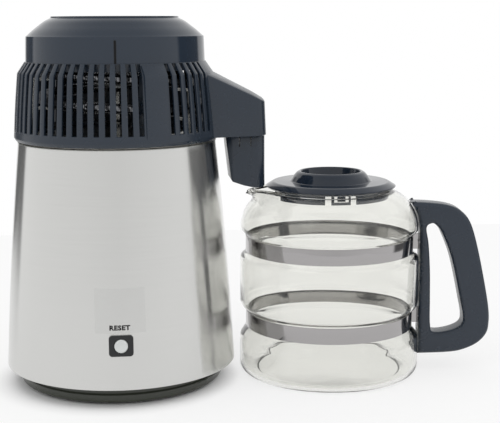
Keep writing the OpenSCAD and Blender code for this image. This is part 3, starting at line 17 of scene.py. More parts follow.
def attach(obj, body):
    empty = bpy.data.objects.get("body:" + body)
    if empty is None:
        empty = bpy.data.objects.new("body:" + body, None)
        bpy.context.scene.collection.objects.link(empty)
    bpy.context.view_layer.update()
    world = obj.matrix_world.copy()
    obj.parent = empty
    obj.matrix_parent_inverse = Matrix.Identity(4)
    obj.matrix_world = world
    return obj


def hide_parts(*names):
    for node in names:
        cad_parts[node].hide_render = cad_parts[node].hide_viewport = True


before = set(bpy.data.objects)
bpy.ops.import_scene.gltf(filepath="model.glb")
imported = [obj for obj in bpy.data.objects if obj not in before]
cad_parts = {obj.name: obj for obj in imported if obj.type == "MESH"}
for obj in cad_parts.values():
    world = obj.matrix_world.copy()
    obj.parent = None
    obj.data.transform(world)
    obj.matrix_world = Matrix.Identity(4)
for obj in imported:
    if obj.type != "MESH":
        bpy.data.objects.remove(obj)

MM = 0.001
LOG = logging.getLogger("distiller")
Point2 = tuple[float, float]
Point3 = tuple[float, float, float]
Outline = tuple[Point2, ...]
Shape = tuple[np.ndarray, list[tuple[int, ...]]]
Socket = bpy.types.NodeSocket


# Node helpers


def linear(code: str) -> tuple[float, float, float, float]:
    """Turns an sRGB hex colour to linear light, with an alpha of 1."""
    parts = [int(code[i : i + 2], 16) / 255 for i in (1, 3, 5)]
    return tuple(c / 12.92 if c <= 0.04045 else ((c + 0.055) / 1.055) ** 2.4 for c in parts) + (1.0,)


class Graph:
    """A node tree that is being built, with short ways to add its nodes."""

    def __init__(self, tree: bpy.types.NodeTree) -> None:
        """Takes the tree to fill."""
        self.tree = tree

    def feed(self, entry: Socket, value: Any) -> None:
        """Links an input to a socket, or sets its value.

        Args:
            entry: The input.
            value: A plain value, or the socket that feeds it.
        """
        if isinstance(value, Socket):
            self.tree.links.new(value, entry)
        else:
            entry.default_value = value

    def add(self, kind: str, values: Optional[dict[Any, Any]] = None) -> bpy.types.Node:
        """Adds a node, sets its properties and feeds its inputs.

        Args:
            kind: The node's type name.
            values: Property name, input name or input number, to a value or a socket.

        Returns:
            The new node.
        """
        node = self.tree.nodes.new(kind)
        for key, value in (values or {}).items():
            if isinstance(key, str) and hasattr(node, key):
                setattr(node, key, value)
            else:
                self.feed(node.inputs[key], value)
        return node

    def get(self, kind: str, values: Optional[dict[Any, Any]] = None) -> Socket:
        """Adds a node and returns its first output."""
        return self.add(kind, values).outputs[0]

    def math(self, operation: str, *values: Any) -> Socket:
        """Reckons with numbers or sockets."""
        return self.get("ShaderNodeMath", {"operation": operation, **dict(enumerate(values))})

    def span(self, source: Socket, low: float, high: float, to: Point2 = (0.0, 1.0)) -> Socket:
        """Maps the range from low to high onto another, and clamps it."""
        return self.get("ShaderNodeMapRange", {0: source, 1: low, 2: high, 3: to[0], 4: to[1]})

    def mix(self, share: Socket, a: Any, b: Any, kind: str = "FLOAT") -> Socket:
        """Blends two numbers or, with the kind RGBA, two colours."""
        entry, out = {"FLOAT": (2, 0), "RGBA": (6, 2)}[kind]
        return self.add("ShaderNodeMix", {"data_type": kind, 0: share, entry: a, entry + 1: b}).outputs[out]

    def noise(self, place: Socket, size: float, detail: float = 2.0, rough: float = 0.5) -> Socket:
        """Adds a noise with spots of a size in millimetres."""
        values = {"Vector": place, "Scale": 1 / (size * MM), "Detail": detail, "Roughness": rough}
        return self.add("ShaderNodeTexNoise", values).outputs["Fac"]

    def join(self, *parts: Socket) -> Socket:
        """Puts geometry together.

        Args:
            parts: The geometry sockets.

        Returns:
            The joined geometry.
        """
        whole = self.add("GeometryNodeJoinGeometry")
        for part in parts:
            self.tree.links.new(part, whole.inputs[0])
        return whole.outputs[0]


class Paint(Graph):
    """A material's tree round one Principled shader."""

    def __init__(self, tree: bpy.types.NodeTree) -> None:
        """Adds the shader, its output and the object's coordinates.

        Args:
            tree: The material's emptied tree.
        """
        super().__init__(tree)
        self.shader = self.add("ShaderNodeBsdfPrincipled")
        self.add("ShaderNodeOutputMaterial", {"Surface": self.shader.outputs[0]})
        self.place = self.add("ShaderNodeTexCoord").outputs["Object"]

    def set(self, values: dict[str, Any]) -> None:
        """Sets or feeds the shader's inputs by name."""
        for name, value in values.items():
            self.feed(self.shader.inputs[name], value)

    def tone(self, colour: str, share: float, pattern: Socket) -> Socket:
        """Varies a colour over a pattern.

        Args:
            colour: The middle colour, as hex.
            share: How much darker and lighter it gets.
            pattern: The pattern, from 0 to 1.

        Returns:
            The colour.
        """
        base = linear(colour)[:3]
        dark = tuple(c * (1 - share) for c in base) + (1.0,)
        light = tuple(min(c * (1 + share), 1.0) for c in base) + (1.0,)
        return self.mix(pattern, dark, light, "RGBA")

    def bump(self, height: Socket, strength: float, depth: float) -> Socket:
        """Raises a pattern by a depth in millimetres."""
        return self.get("ShaderNodeBump", {"Strength": strength, "Distance": depth * MM, "Height": height})


# Finishes


@dataclass(frozen=True)
class Finish:
    """A surface with its own procedural material."""

    name: str
    slot: str
    colour: str

    def material(self) -> bpy.types.Material:
        """Builds the material once and then shares it.

        Returns:
            The material.
        """
        made = bpy.data.materials.get(self.name)
        if not made:
            made = bpy.data.materials.new(self.name)
            made.use_nodes = True
            made.diffuse_color = linear(self.colour)
            made.node_tree.nodes.clear()
            self.dress(Paint(made.node_tree))
        return made

    def dress(self, paint: Paint) -> None:
        """Sets the plain colour."""
        paint.set({"Base Color": linear(self.colour)})


@dataclass(frozen=True)
class Textured(Finish):
    """A surface whose roughness drifts round a middle value."""

    roughness: float = 0.4
    drift: float = 0.06

    def sheen(self) -> Point2:
        """The least and the most roughness."""
        return max(self.roughness - self.drift, 0.02), self.roughness + self.drift


@dataclass(frozen=True)
class Moulded(Textured):
    """Injection moulded plastic or rubber: spark-eroded grain, and a sheen that drifts a little."""

    grain_mm: float = 0.7
    grain_depth_mm: float = 0.012
    mottle: float = 0.12
    cloud_mm: float = 22.0
    ior: float = 1.5

    def dress(self, paint: Paint) -> None:
        """Adds a mottled colour, drifting roughness and a fine grain.

        Args:
            paint: The material's tree.
        """
        cloud = paint.noise(paint.place, self.cloud_mm, 3.0, 0.6)
        grain = paint.noise(paint.place, self.grain_mm)
        paint.set({
            "IOR": self.ior,
            "Roughness": paint.span(cloud, 0.3, 0.7, self.sheen()),
            "Base Color": paint.tone(self.colour, self.mottle, grain),
            "Normal": paint.bump(grain, 0.5, self.grain_depth_mm),
        })


@dataclass(frozen=True)
class WornMetal(Textured):
    """Metal sheet or wire: fine working marks in one direction, with small stains in the sheen."""

    marks_mm: Point3 = (60.0, 60.0, 0.9)
    marks_depth_mm: float = 0.004
    marks_tone: float = 0.1
    anisotropic: float = 0.0
    turned: float = 0.25
    stain_mm: float = 35.0

    def dress(self, paint: Paint) -> None:
        """Adds drawn-out marks to the colour, the roughness and the bump.

        Args:
            paint: The material's tree.
        """
        if self.anisotropic:
            tangent = paint.get("ShaderNodeTangent", {"direction_type": "RADIAL", "axis": "Z"})
            paint.set({"Tangent": tangent})
        scale = tuple(1 / (size * MM) for size in self.marks_mm)
        drawn = paint.get("ShaderNodeMapping", {"Scale": scale, "Vector": paint.place})
        marks = paint.noise(drawn, 1 / MM, 5.0, 0.7)
        stains = paint.noise(paint.place, self.stain_mm, 4.0)
        mixed = paint.math("MULTIPLY_ADD", marks, 0.6, stains)
        paint.set({
            "Metallic": 1.0,
            "Anisotropic": self.anisotropic,
            "Anisotropic Rotation": self.turned,
            "Roughness": paint.span(mixed, 0.5, 1.1, self.sheen()),
            "Base Color": paint.tone(self.colour, self.marks_tone, marks),
            "Normal": paint.bump(marks, 0.6, self.marks_depth_mm),
        })


@dataclass(frozen=True)
class Glass(Finish):
    """Blown borosilicate glass: clear, with slow waves in its surface from blowing."""

    wave_mm: float = 28.0
    wave_depth_mm: float = 0.25
    ior: float = 1.47

    def dress(self, paint: Paint) -> None:
        """Sets the glass, bends its surface slightly and lets most light past in its shadow.

        Args:
            paint: The material's tree.
        """
        super().dress(paint)
        wave = paint.noise(paint.place, self.wave_mm, 1.0)
        shadow = paint.add("ShaderNodeLightPath").outputs["Is Shadow Ray"]
        paint.set({
            "Transmission Weight": 1.0,
            "Roughness": 0.0,
            "IOR": self.ior,
            "Normal": paint.bump(wave, 0.3, self.wave_depth_mm),
            "Alpha": paint.math("MULTIPLY_ADD", shadow, -0.9, 1.0),
        })


@dataclass(frozen=True)
class ClearFilm(Finish):
    """Thin clear polyester film, glossier than the steel under it."""

    cover: float = 0.03
    haze_mm: float = 6.0

    def dress(self, paint: Paint) -> None:
        """Sets a faint film that shows by its gloss.

        Args:
            paint: The material's tree.
        """
        super().dress(paint)
        haze = paint.noise(paint.place, self.haze_mm)
        paint.set({"Alpha": self.cover, "Roughness": paint.span(haze, 0.0, 1.0, (0.12, 0.3))})


@dataclass(frozen=True)
class CoverGloss(Moulded):
    """High-gloss moulded ABS of the cover, with a painted reflection down its front: a dark, matt upright
    stripe.
    """

    line_x: float = 0.3
    line_high_z: float = 341.0
    line_w: float = 2.4
    reflection_colour: tuple[float, float, float, float] = (0.001, 0.001, 0.0015, 1.0)

    def dress(self, paint: Paint) -> None:
        """Adds a painted reflection to the moulded gloss: a dark, matt upright stripe down the front.

        Args:
            paint: The material's tree.
        """
        super().dress(paint)
        axes = paint.add("ShaderNodeSeparateXYZ", {0: paint.place}).outputs
        off = paint.math("ABSOLUTE", paint.math("SUBTRACT", axes["X"], self.line_x * MM))
        near = paint.span(off, self.line_w * 0.7 * MM, self.line_w * 0.3 * MM)
        low = paint.span(axes["Z"], self.line_high_z * MM, (self.line_high_z - 1) * MM)
        front = paint.math("LESS_THAN", axes["Y"], 0.0)
        # Painted reflection: a dark upright stripe, on the front half only and below the dome
        reflection_mask = paint.math("MULTIPLY", paint.math("MULTIPLY", near, low), front)
        names = ("Base Color", "Roughness")
        colour, dull = [paint.shader.inputs[name].links[0].from_socket for name in names]
        paint.set({
            "Base Color": paint.mix(reflection_mask, colour, self.reflection_colour, "RGBA"),
            "Roughness": paint.mix(reflection_mask, dull, 0.9),
        })


# Brushed 304 sheet: the belt ran round the shell, so marks lie level and reflections smear upright
SHELL_STEEL = WornMetal("stainless_brushed_round", "steel_brushed", "#D2D2D0", 0.21, 0.02,
                        (90.0, 90.0, 1.1), 0.002, 0.04, 1.0)
# Deep drawn and tumbled stainless: satin, with rings from the drawing
POT_STEEL = WornMetal("stainless_deep_drawn", "steel_brushed", "#C2C2BE", 0.26, 0.08,
                      (90.0, 90.0, 2.2), 0.01, 0.06, 0.4)
# Stainless strip with a bright mill finish
BAND_STEEL = WornMetal("stainless_bright_strip", "steel_polished", "#A8A6A6", 0.1, 0.04,
                       (40.0, 40.0, 3.0), 0.002, 0.04)
# Drawn stainless tube and fins, with the colour darkened as painted shade for the dark inside of the head
SHADED_TUBE_STEEL = WornMetal("stainless_drawn_tube_painted_shade", "steel_polished", "#77787B", 0.14, 0.05,
                       (12.0, 12.0, 12.0), 0.004, 0.08)
# Pressed stainless plate under the head
PLATE_STEEL = WornMetal("stainless_pressed_plate", "steel_polished", "#C6C6C2", 0.2, 0.06,
                        (8.0, 60.0, 8.0), 0.004)
# Fasteners and brackets: zinc plated, greyer, with cloudy passivation
PLATED_STEEL = WornMetal("steel_zinc_plated", "steel_plated", "#A9ACAE", 0.34, 0.1,
                         (3.0, 3.0, 3.0), 0.01, 0.14)
# Pressed aluminium, dull and pale
PRESSED_ALUMINIUM = WornMetal("aluminium_pressed", "aluminium_pressed", "#C9CBCE", 0.4, 0.08,
                              (5.0, 90.0, 5.0), 0.01)
# Brass contacts, lightly tarnished
BRASS_STRIP = WornMetal("brass_contact_strip", "brass_contact", "#C7A257", 0.28, 0.1,
                        (2.0, 30.0, 2.0), 0.006, 0.16)
# ABS with a satin spark-eroded grain, and ABS from a polished mould
SATIN_ABS = Moulded("abs_satin_black", "black_satin", "#1F2935", 0.27, 0.05)
GLOSS_ABS = Moulded("abs_gloss_black", "black_gloss", "#1B2430", 0.09, 0.03, 1.2, 0.003)
# The cover's material carries a painted reflection, a dark stripe down the drum's front
COVER_ABS = CoverGloss("abs_gloss_cover", "black_gloss", "#1D2835", 0.08, 0.02, 1.2, 0.003)
# Polypropylene of the pan, waxier
PAN_PLASTIC = Moulded("polypropylene_black", "black_gloss", "#34372F", 0.16, 0.04, 0.9, 0.01)
# Phenolic and nylon of the electrical bodies
CONTACT_PLASTIC = Moulded("nylon_black_moulded", "black_hard", "#1A1A1B", 0.5, 0.08, 0.6, 0.02)
BUTTON_ABS = Moulded("abs_pale_grey", "grey_button", "#CDD0CF", 0.38, 0.05, 0.8, 0.01, 0.05)
BASKET_PLASTIC = Moulded("polypropylene_white", "pale_insert", "#DCDDDD", 0.4, 0.06, 0.8, 0.01, 0.04)
FOOT_RUBBER = Moulded("rubber_black_moulded", "rubber_black", "#161617", 0.72, 0.08, 0.9, 0.03)
SILICONE = Moulded("silicone_pale_moulded", "silicone_pale", "#D3D2CB", 0.55, 0.06, 1.1, 0.01, 0.05)
WIRE_COVER = Moulded("silicone_wire_cover", "wire_cover", "#3A3B3D", 0.5, 0.06, 0.8, 0.01)
# ABS of the bezel, a deeper black than the head
BEZEL_ABS = Moulded("abs_black_bezel", "black_satin", "#111316", 0.3, 0.05, 0.8, 0.006)
PRINT_INK = Moulded("screen_ink_black", "black_satin", "#050505", 0.8, 0.05, 0.5, 0.003)
CARAFE_GLASS = Glass("glass_blown_borosilicate", "glass_clear", "#F5F5F2")
LABEL_FILM = ClearFilm("polyester_film_clear", "glass_clear", "#8E8E93")


# Mesh helpers, in millimetres

MOST_OF_A_SIDE = 0.48


def rounded(
    points: Sequence[Point2], radius: float, steps: int = 4, only: Optional[Iterable[int]] = None
) -> list[Point2]:
    """Rounds the corners of a closed outline.

    Args:
        points: The outline's corners in order.
        radius: How far the rounding may reach along each side.
        steps: Points along each rounding.
        only: The corners to round, or None for all.

    Returns:
        The new outline.
    """
    chosen = set(range(len(points)) if only is None else only)
    out: list[Point2] = []
    for i, corner in enumerate(points):
        here = np.array(corner, float)
        if i not in chosen:
            out.append(tuple(here))
            continue
        ends = []
        for other in (points[i - 1], points[(i + 1) % len(points)]):
            side = np.array(other, float) - here
            length = np.linalg.norm(side)
            ends.append(here + side / max(length, 1e-9) * min(radius, length * MOST_OF_A_SIDE))
        for k in range(steps + 1):
            t = k / steps
            out.append(tuple((1 - t) ** 2 * ends[0] + 2 * t * (1 - t) * here + t**2 * ends[1]))
    return out


def smooth_line(
    points: Sequence[Sequence[float]], steps: int, closed: bool = False
) -> list[tuple[float, ...]]:
    """Draws a smooth curve through the points.

    Args:
        points: The points that the curve passes.
        steps: New points from each to the next.
        closed: Whether the curve returns to its start.

    Returns:
        The curve's points.
    """
    p = [np.array(q, float) for q in points]
    n = len(p)
    out = []
    for i in range(n if closed else n - 1):
        a, b, c, d = (p[k % n] if closed else p[min(max(k, 0), n - 1)] for k in range(i - 1, i + 3))
        for k in range(steps):
            t = k / steps
            bend = (2 * a - 5 * b + 4 * c - d) * t**2 + (3 * b - a - 3 * c + d) * t**3
            out.append(tuple(0.5 * (2 * b + (c - a) * t + bend)))
    if not closed:
        out.append(tuple(p[-1]))
    return out


def arc(centre: Point2, radius: float, start: float, end: float, steps: int) -> list[Point2]:
    """Points along an arc, with angles in degrees from the first axis."""
    turns = [math.radians(start + (end - start) * i / steps) for i in range(steps + 1)]
    return [(centre[0] + radius * math.cos(a), centre[1] + radius * math.sin(a)) for a in turns]


def lathe(
    profile: Sequence[Point2], centre: Point2 = (0.0, 0.0), steps: int = 144, start: float = 0.0,
    sweep: float = 360.0,
) -> Shape:
    """Turns a closed outline of radius and height round an upright axis.

    Args:
        profile: The outline's points in order.
        centre: The axis's X and Y.
        steps: Facets round the full sweep.
        start: First azimuth in degrees.
        sweep: How far the outline turns.

    Returns:
        Points and faces, open nowhere.
    """
    full = abs(sweep - 360.0) < 1e-6
    columns = steps if full else steps + 1
    points: list[Point3] = []
    rings: list[list[int]] = []
    for r, z in profile:
        if r < 1e-6 and full:
            rings.append([len(points)] * columns)
            points.append((centre[0], centre[1], z))
            continue
        ring = []
        for k in range(columns):
            a = math.radians(start + sweep * k / steps)
            ring.append(len(points))
            points.append((centre[0] + r * math.sin(a), centre[1] - r * math.cos(a), z))
        rings.append(ring)
    faces: list[tuple[int, ...]] = []
    for i, ring in enumerate(rings):
        other = rings[(i + 1) % len(rings)]
        for k in range(columns if full else columns - 1):
            m = (k + 1) % columns
            corners = tuple(dict.fromkeys([ring[k], ring[m], other[m], other[k]]))
            if len(corners) > 2:
                faces.append(corners)
    if not full:
        faces.append(tuple(ring[0] for ring in rings))
        faces.append(tuple(ring[-1] for ring in reversed(rings)))
    return np.array(points), faces


def skin(rows: Sequence[np.ndarray], caps: bool = True) -> Shape:
    """Joins closed rings of equal length into one skin.

    Args:
        rows: Each ring's points, as an array of three columns.
        caps: Whether the first and last ring are closed by a face.

    Returns:
        Points and faces.
    """
    n = len(rows[0])
    faces: list[tuple[int, ...]] = []
    for i in range(len(rows) - 1):
        for k in range(n):
            m = (k + 1) % n
            faces.append((i * n + k, i * n + m, (i + 1) * n + m, (i + 1) * n + k))
    if caps:
        faces.append(tuple(range(n)))
        faces.append(tuple(reversed(range((len(rows) - 1) * n, len(rows) * n))))
    return np.vstack(rows), faces


def merged(*shapes: Shape) -> Shape:
    """Puts several shapes into one, each with its own points.

    Args:
        shapes: The shapes.

    Returns:
        One shape.
    """
    points, faces, base = [], [], 0
    for p, f in shapes:
        points.append(p)
        faces += [tuple(i + base for i in face) for face in f]
        base += len(p)
    return np.vstack(points), faces


def block(low: Sequence[float], high: Sequence[float]) -> Shape:
    """A plain block between two corners, used to cut holes."""
    ring = [(low[0], high[1]), (high[0], high[1]), (high[0], low[1]), (low[0], low[1])]
    return skin([np.array([(x, y, z) for x, y in ring]) for z in (low[2], high[2])])


def moved(shape: Shape, matrix: Matrix) -> Shape:
    """Places a shape by a matrix whose shift is in millimetres."""
    m = np.array(matrix)
    return shape[0] @ m[:3, :3].T + m[:3, 3], shape[1]


def mesh_of(name: str, shape: Shape) -> bpy.types.Mesh:
    """Makes a mesh in metres with its faces pointing outwards.

    Args:
        name: The mesh's name.
        shape: Points in millimetres, and faces.

    Returns:
        The mesh.
    """
    mesh = bpy.data.meshes.new(name)
    mesh.from_pydata((shape[0] * MM).tolist(), [], shape[1])
    return cleaned(mesh, 0.5e-6)


def cleaned(mesh: bpy.types.Mesh, distance: float) -> bpy.types.Mesh:
    """Merges the points that lie close together, and turns the faces outwards.

    Args:
        mesh: The mesh, in metres.
        distance: Points nearer than this many metres are merged; none at 0.

    Returns:
        The same mesh.
    """
    work = bmesh.new()
    work.from_mesh(mesh)
    if distance:
        bmesh.ops.remove_doubles(work, verts=work.verts, dist=distance)
    bmesh.ops.recalc_face_normals(work, faces=work.faces)
    work.to_mesh(mesh)
    work.free()
    return mesh


def faced_front(mesh: bpy.types.Mesh) -> bpy.types.Mesh:
    """Turns a sheet on the shell's front so that it faces out, toward -Y.

    Args:
        mesh: The sheet's mesh.

    Returns:
        The same mesh.
    """
    if sum(p.normal.y * p.area for p in mesh.polygons) > 0:
        mesh.flip_normals()
    return mesh


def add_piece(
    name: str, source: Shape | bpy.types.Mesh, finish: Finish, body: str, stands_for: Sequence[str] = (),
    sharp: float = 35.0,
) -> bpy.types.Object:
    """Adds a finished piece, dresses it and lets it ride on a body.

    Args:
        name: The piece's name.
        source: A shape in millimetres, or a mesh already in metres.
        finish: The surface.
        body: The body that it moves with.
        stands_for: The CAD nodes that it takes the place of.
        sharp: Edges over this angle in degrees stay crisp.

    Returns:
        The object.
    """
    mesh = source if isinstance(source, bpy.types.Mesh) else mesh_of(name, source)
    mesh.name = name
    mesh.shade_smooth()
    mesh.set_sharp_from_angle(angle=math.radians(sharp))
    mesh.materials.clear()
    mesh.materials.append(finish.material())
    piece = new_object(name, mesh)
    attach(piece, body)
    if stands_for:
        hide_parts(*stands_for)
    LOG.info("%s: %d faces, %s", name, len(mesh.polygons), finish.name)
    return piece


def baked(source: bpy.types.Object) -> bpy.types.Mesh:
    """Turns an object with modifiers into a plain mesh and removes the object.

    Args:
        source: The object, not yet riding on anything.

    Returns:
        The evaluated mesh.
    """
    bpy.context.view_layer.update()
    mesh = bpy.data.meshes.new_from_object(source.evaluated_get(bpy.context.evaluated_depsgraph_get()))
    source.modifiers.clear()
    bpy.data.objects.remove(source)
    return mesh


def new_object(name: str, data: bpy.types.ID) -> bpy.types.Object:
    """Links a new object to the scene.

    Args:
        name: The object's name.
        data: Its mesh, curve, camera or lamp.

    Returns:
        The object.
    """
    made = bpy.data.objects.new(name, data)
    bpy.context.scene.collection.objects.link(made)
    return made


def softened(node: str, width: float, finish: Finish, body: str) -> bpy.types.Object:
    """Replaces a CAD node by a copy whose edges are broken as a mould or press breaks them.

    Args:
        node: The CAD node.
        width: Width of the broken edge in millimetres.
        finish: The surface.
        body: The body that it moves with.

    Returns:
        The new piece.
    """
    work = bmesh.new()
    work.from_mesh(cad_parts[node].data)
    bmesh.ops.remove_doubles(work, verts=work.verts, dist=2e-6)
    flat = math.radians(1.0)
    bmesh.ops.dissolve_limit(work, angle_limit=flat, verts=work.verts, edges=work.edges, delimit={"NORMAL"})
    mesh = bpy.data.meshes.new(node + "_soft")
    work.to_mesh(mesh)
    work.free()
    item = new_object(node + "_soft", mesh)
    bevel = item.modifiers.new("edges", "BEVEL")
    bevel.width = width * MM
    bevel.segments = 2
    bevel.limit_method = "ANGLE"
    bevel.angle_limit = math.radians(40)
    bevel.harden_normals = False
    bevel.miter_outer = "MITER_ARC"
    return add_piece(node + "_body", baked(item), finish, body, [node], 30.0)


def dress_nodes(finish: Finish, *nodes: str) -> None:
    """Gives CAD nodes a finish and leaves their shape alone.

    Args:
        finish: The surface.
        nodes: The CAD nodes.
    """
    for node in nodes:
        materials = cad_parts[node].data.materials
        materials.clear()
        materials.append(finish.material())
        LOG.info("%s: CAD shape, %s", node, finish.name)


# Geometry Nodes


class Pattern(Enum):
    """The trees that make what repeats."""

    ROUND_AXIS = "around_upright_axis"
    RIBBED_TUBE = "ribbed_tube_on_path"
    RINGS = "concentric_rings"


class Repeater:
    """Builds the node trees once and runs them on a source mesh."""

    def __init__(self) -> None:
        """Starts with no tree built."""
        self.trees: dict[Pattern, bpy.types.NodeTree] = {}
        self.makers: dict[Pattern, Callable[[], bpy.types.NodeTree]] = {
            Pattern.ROUND_AXIS: self.round_axis,
            Pattern.RIBBED_TUBE: self.ribbed_tube,
            Pattern.RINGS: self.rings,
        }

    def start(self, pattern: Pattern, *names: str) -> tuple[Graph, Any]:
        """Makes an empty tree with its named inputs.

        Args:
            pattern: Which tree it is.
            names: The inputs that hold numbers; Count is a whole one.

        Returns:
            The graph, and its inputs' sockets by name.
        """
        tree = bpy.data.node_groups.new(pattern.value, "GeometryNodeTree")
        numbers = {name: "Int" if name == "Count" else "Float" for name in names}
        for name, kind in {"Geometry": "Geometry", **numbers, "Material": "Material"}.items():
            tree.interface.new_socket(name, in_out="INPUT", socket_type="NodeSocket" + kind)
        tree.interface.new_socket("Geometry", in_out="OUTPUT", socket_type="NodeSocketGeometry")
        return Graph(tree), tree.nodes.new("NodeGroupInput").outputs

    def close(self, graph: Graph, given: Any, shape: Socket) -> bpy.types.NodeTree:
        """Ends a tree in Realize Instances and Set Material.

        Args:
            graph: The graph.
            given: Its inputs' sockets.
            shape: The geometry that it has made.

        Returns:
            The tree.
        """
        real = graph.get("GeometryNodeRealizeInstances", {0: shape})
        painted = graph.get("GeometryNodeSetMaterial", {"Geometry": real, "Material": given["Material"]})
        graph.add("NodeGroupOutput", {0: painted})
        return graph.tree

    def counted(self, graph: Graph, step: Socket, first: Socket) -> Socket:
        """Reckons a value that grows by a step with each point's number."""
        return graph.math("MULTIPLY_ADD", graph.get("GeometryNodeInputIndex"), step, first)

    def round_axis(self) -> bpy.types.NodeTree:
        """Copies the source round the upright axis, leaving out two gaps.

        Returns:
            The tree.
        """
        graph, given = self.start(
            Pattern.ROUND_AXIS, "Count", "First Angle", "Step", "Gap A", "Half Gap A", "Gap B", "Half Gap B"
        )
        angle = self.counted(graph, given["Step"], given["First Angle"])
        kept = []
        for gap in ("Gap A", "Gap B"):
            off = graph.math("ABSOLUTE", graph.math("SUBTRACT", angle, given[gap]))
            kept.append(graph.math("GREATER_THAN", off, given["Half " + gap]))
        copies = graph.get("GeometryNodeInstanceOnPoints", {
            "Points": graph.get("GeometryNodePoints", {"Count": given["Count"]}),
            "Selection": graph.math("MULTIPLY", *kept),
            "Instance": given["Geometry"],
            "Rotation": graph.get("ShaderNodeCombineXYZ", {"Z": graph.math("RADIANS", angle)}),
        })
        return self.close(graph, given, copies)

    def ribbed_tube(self) -> bpy.types.NodeTree:
        """Draws a tube along the source's edges, with a thin round fin at every step.

        Returns:
            The tree.
        """
        graph, given = self.start(
            Pattern.RIBBED_TUBE, "Tube Radius", "Fin Radius", "Fin Step", "Fin Flatness"
        )
        path = graph.get("GeometryNodeMeshToCurve", {"Mesh": given["Geometry"]})
        circle = {"Resolution": 14, "Radius": given["Tube Radius"]}
        tube = graph.get("GeometryNodeCurveToMesh", {
            "Fill Caps": True,
            "Curve": path,
            "Profile Curve": graph.get("GeometryNodeCurvePrimitiveCircle", circle),
        })
        evenly = {"mode": "LENGTH", "Curve": path, "Length": given["Fin Step"]}
        marks = graph.add("GeometryNodeCurveToPoints", evenly).outputs
        ball = {"Segments": 16, "Rings": 4, "Radius": given["Fin Radius"]}
        fins = graph.get("GeometryNodeInstanceOnPoints", {
            "Points": marks["Points"],
            "Instance": graph.add("GeometryNodeMeshUVSphere", ball).outputs["Mesh"],
            "Rotation": marks["Rotation"],
            "Scale": graph.get("ShaderNodeCombineXYZ", {"X": 1.0, "Y": 1.0, "Z": given["Fin Flatness"]}),
        })
        return self.close(graph, given, graph.join(fins, tube))

    def rings(self) -> bpy.types.NodeTree:
        """Lays level rings round the origin, one outside the other, beside the source.

        Returns:
            The tree.
        """
        graph, given = self.start(
            Pattern.RINGS, "Count", "First Radius", "Step", "Bar Width", "Bar Height", "Level", "Corner"
        )
        radius = self.counted(graph, given["Step"], given["First Radius"])
        level = graph.get("ShaderNodeCombineXYZ", {"Z": given["Level"]})
        copies = graph.get("GeometryNodeInstanceOnPoints", {
            "Points": graph.get("GeometryNodePoints", {"Count": given["Count"], "Position": level}),
            "Instance": graph.get("GeometryNodeCurvePrimitiveCircle", {"Resolution": 96, "Radius": 1.0}),
            "Scale": graph.get("ShaderNodeCombineXYZ", {"Z": 1.0, "X": radius, "Y": radius}),
        })
        sizes = {"Width": given["Bar Width"], "Height": given["Bar Height"]}
        bar = graph.get("GeometryNodeCurvePrimitiveQuadrilateral", sizes)
        fillet = {"mode": "POLY", "Count": 2, "Radius": given["Corner"], "Curve": bar}
        swept = graph.get("GeometryNodeCurveToMesh", {
            "Curve": graph.get("GeometryNodeRealizeInstances", {0: copies}),
            "Profile Curve": graph.get("GeometryNodeFilletCurve", fillet),
        })
        return self.close(graph, given, graph.join(swept, given["Geometry"]))

    def run(
        self, pattern: Pattern, name: str, mesh: bpy.types.Mesh, finish: Finish, values: dict[str, Any]
    ) -> bpy.types.Mesh:
        """Runs a tree on a mesh.

        Args:
            pattern: Which tree.
            name: Name of the result.
            mesh: The source mesh, in metres.
            finish: The surface that the tree sets.
            values: Input name to value; lengths in metres.

        Returns:
            A plain mesh.
        """
        if pattern not in self.trees:
            self.trees[pattern] = self.makers[pattern]()
        tree = self.trees[pattern]
        item = new_object(name, mesh)
        modifier = item.modifiers.new(name, "NODES")
        modifier.node_group = tree
        given = dict(values, Material=finish.material())
        for socket in tree.interface.items_tree:
            if socket.item_type == "SOCKET" and socket.in_out == "INPUT" and socket.name in given:
                modifier[socket.identifier] = given[socket.name]
        return cleaned(baked(item), 0.0)


REPEATER = Repeater()


def around(
    name: str, item: Shape, finish: Finish, body: str, count: int, first: float, step: float,
    gaps: tuple[float, float, float, float] = (999.0, 0.0, 999.0, 0.0), stands_for: Sequence[str] = (),
) -> bpy.types.Object:
    """Repeats a shape round the boiler's axis and adds the result as one piece.

    Args:
        name: The piece's name.
        item: The shape at azimuth 0.
        finish: The surface.
        body: The body that it moves with.
        count: Number of copies before gaps.
        first: Azimuth of the first copy in degrees.
        step: Degrees from one copy to the next.
        gaps: Middle and half width of two gaps in degrees.
        stands_for: The CAD nodes that it takes the place of.

    Returns:
        The piece.
    """
    values = dict(zip(("Gap A", "Half Gap A", "Gap B", "Half Gap B"), gaps))
    values |= {"Count": count, "First Angle": first, "Step": step}
    mesh = REPEATER.run(Pattern.ROUND_AXIS, name, mesh_of(name, item), finish, values)
    return add_piece(name, mesh, finish, body, stands_for)


def finned(
    name: str, path: Sequence[Sequence[float]], finish: Finish, body: str, node: str, sharp: float,
    sizes: tuple[float, float, float, float],
) -> bpy.types.Object:
    """Draws a tube with fins along a path and adds it as one piece.

    Args:
        name: The piece's name.
        path: The middle line, in millimetres.
        finish: The surface.
        body: The body that it moves with.
        node: The CAD node that it takes the place of.
        sharp: Edges over this angle in degrees stay crisp.
        sizes: Tube radius, fin radius and fin step in millimetres, and the fin's flatness.

    Returns:
        The piece.
    """
    line = bpy.data.meshes.new(name + "_path")
    line.from_pydata([tuple(c * MM for c in p) for p in path], [(i, i + 1) for i in range(len(path) - 1)], [])
    tube, fin, step, flat = sizes
    values = {"Tube Radius": tube * MM, "Fin Radius": fin * MM, "Fin Step": step * MM, "Fin Flatness": flat}
    mesh = REPEATER.run(Pattern.RIBBED_TUBE, name, line, finish, values)
    return add_piece(name, mesh, finish, body, [node], sharp)


# Sub-assemblies


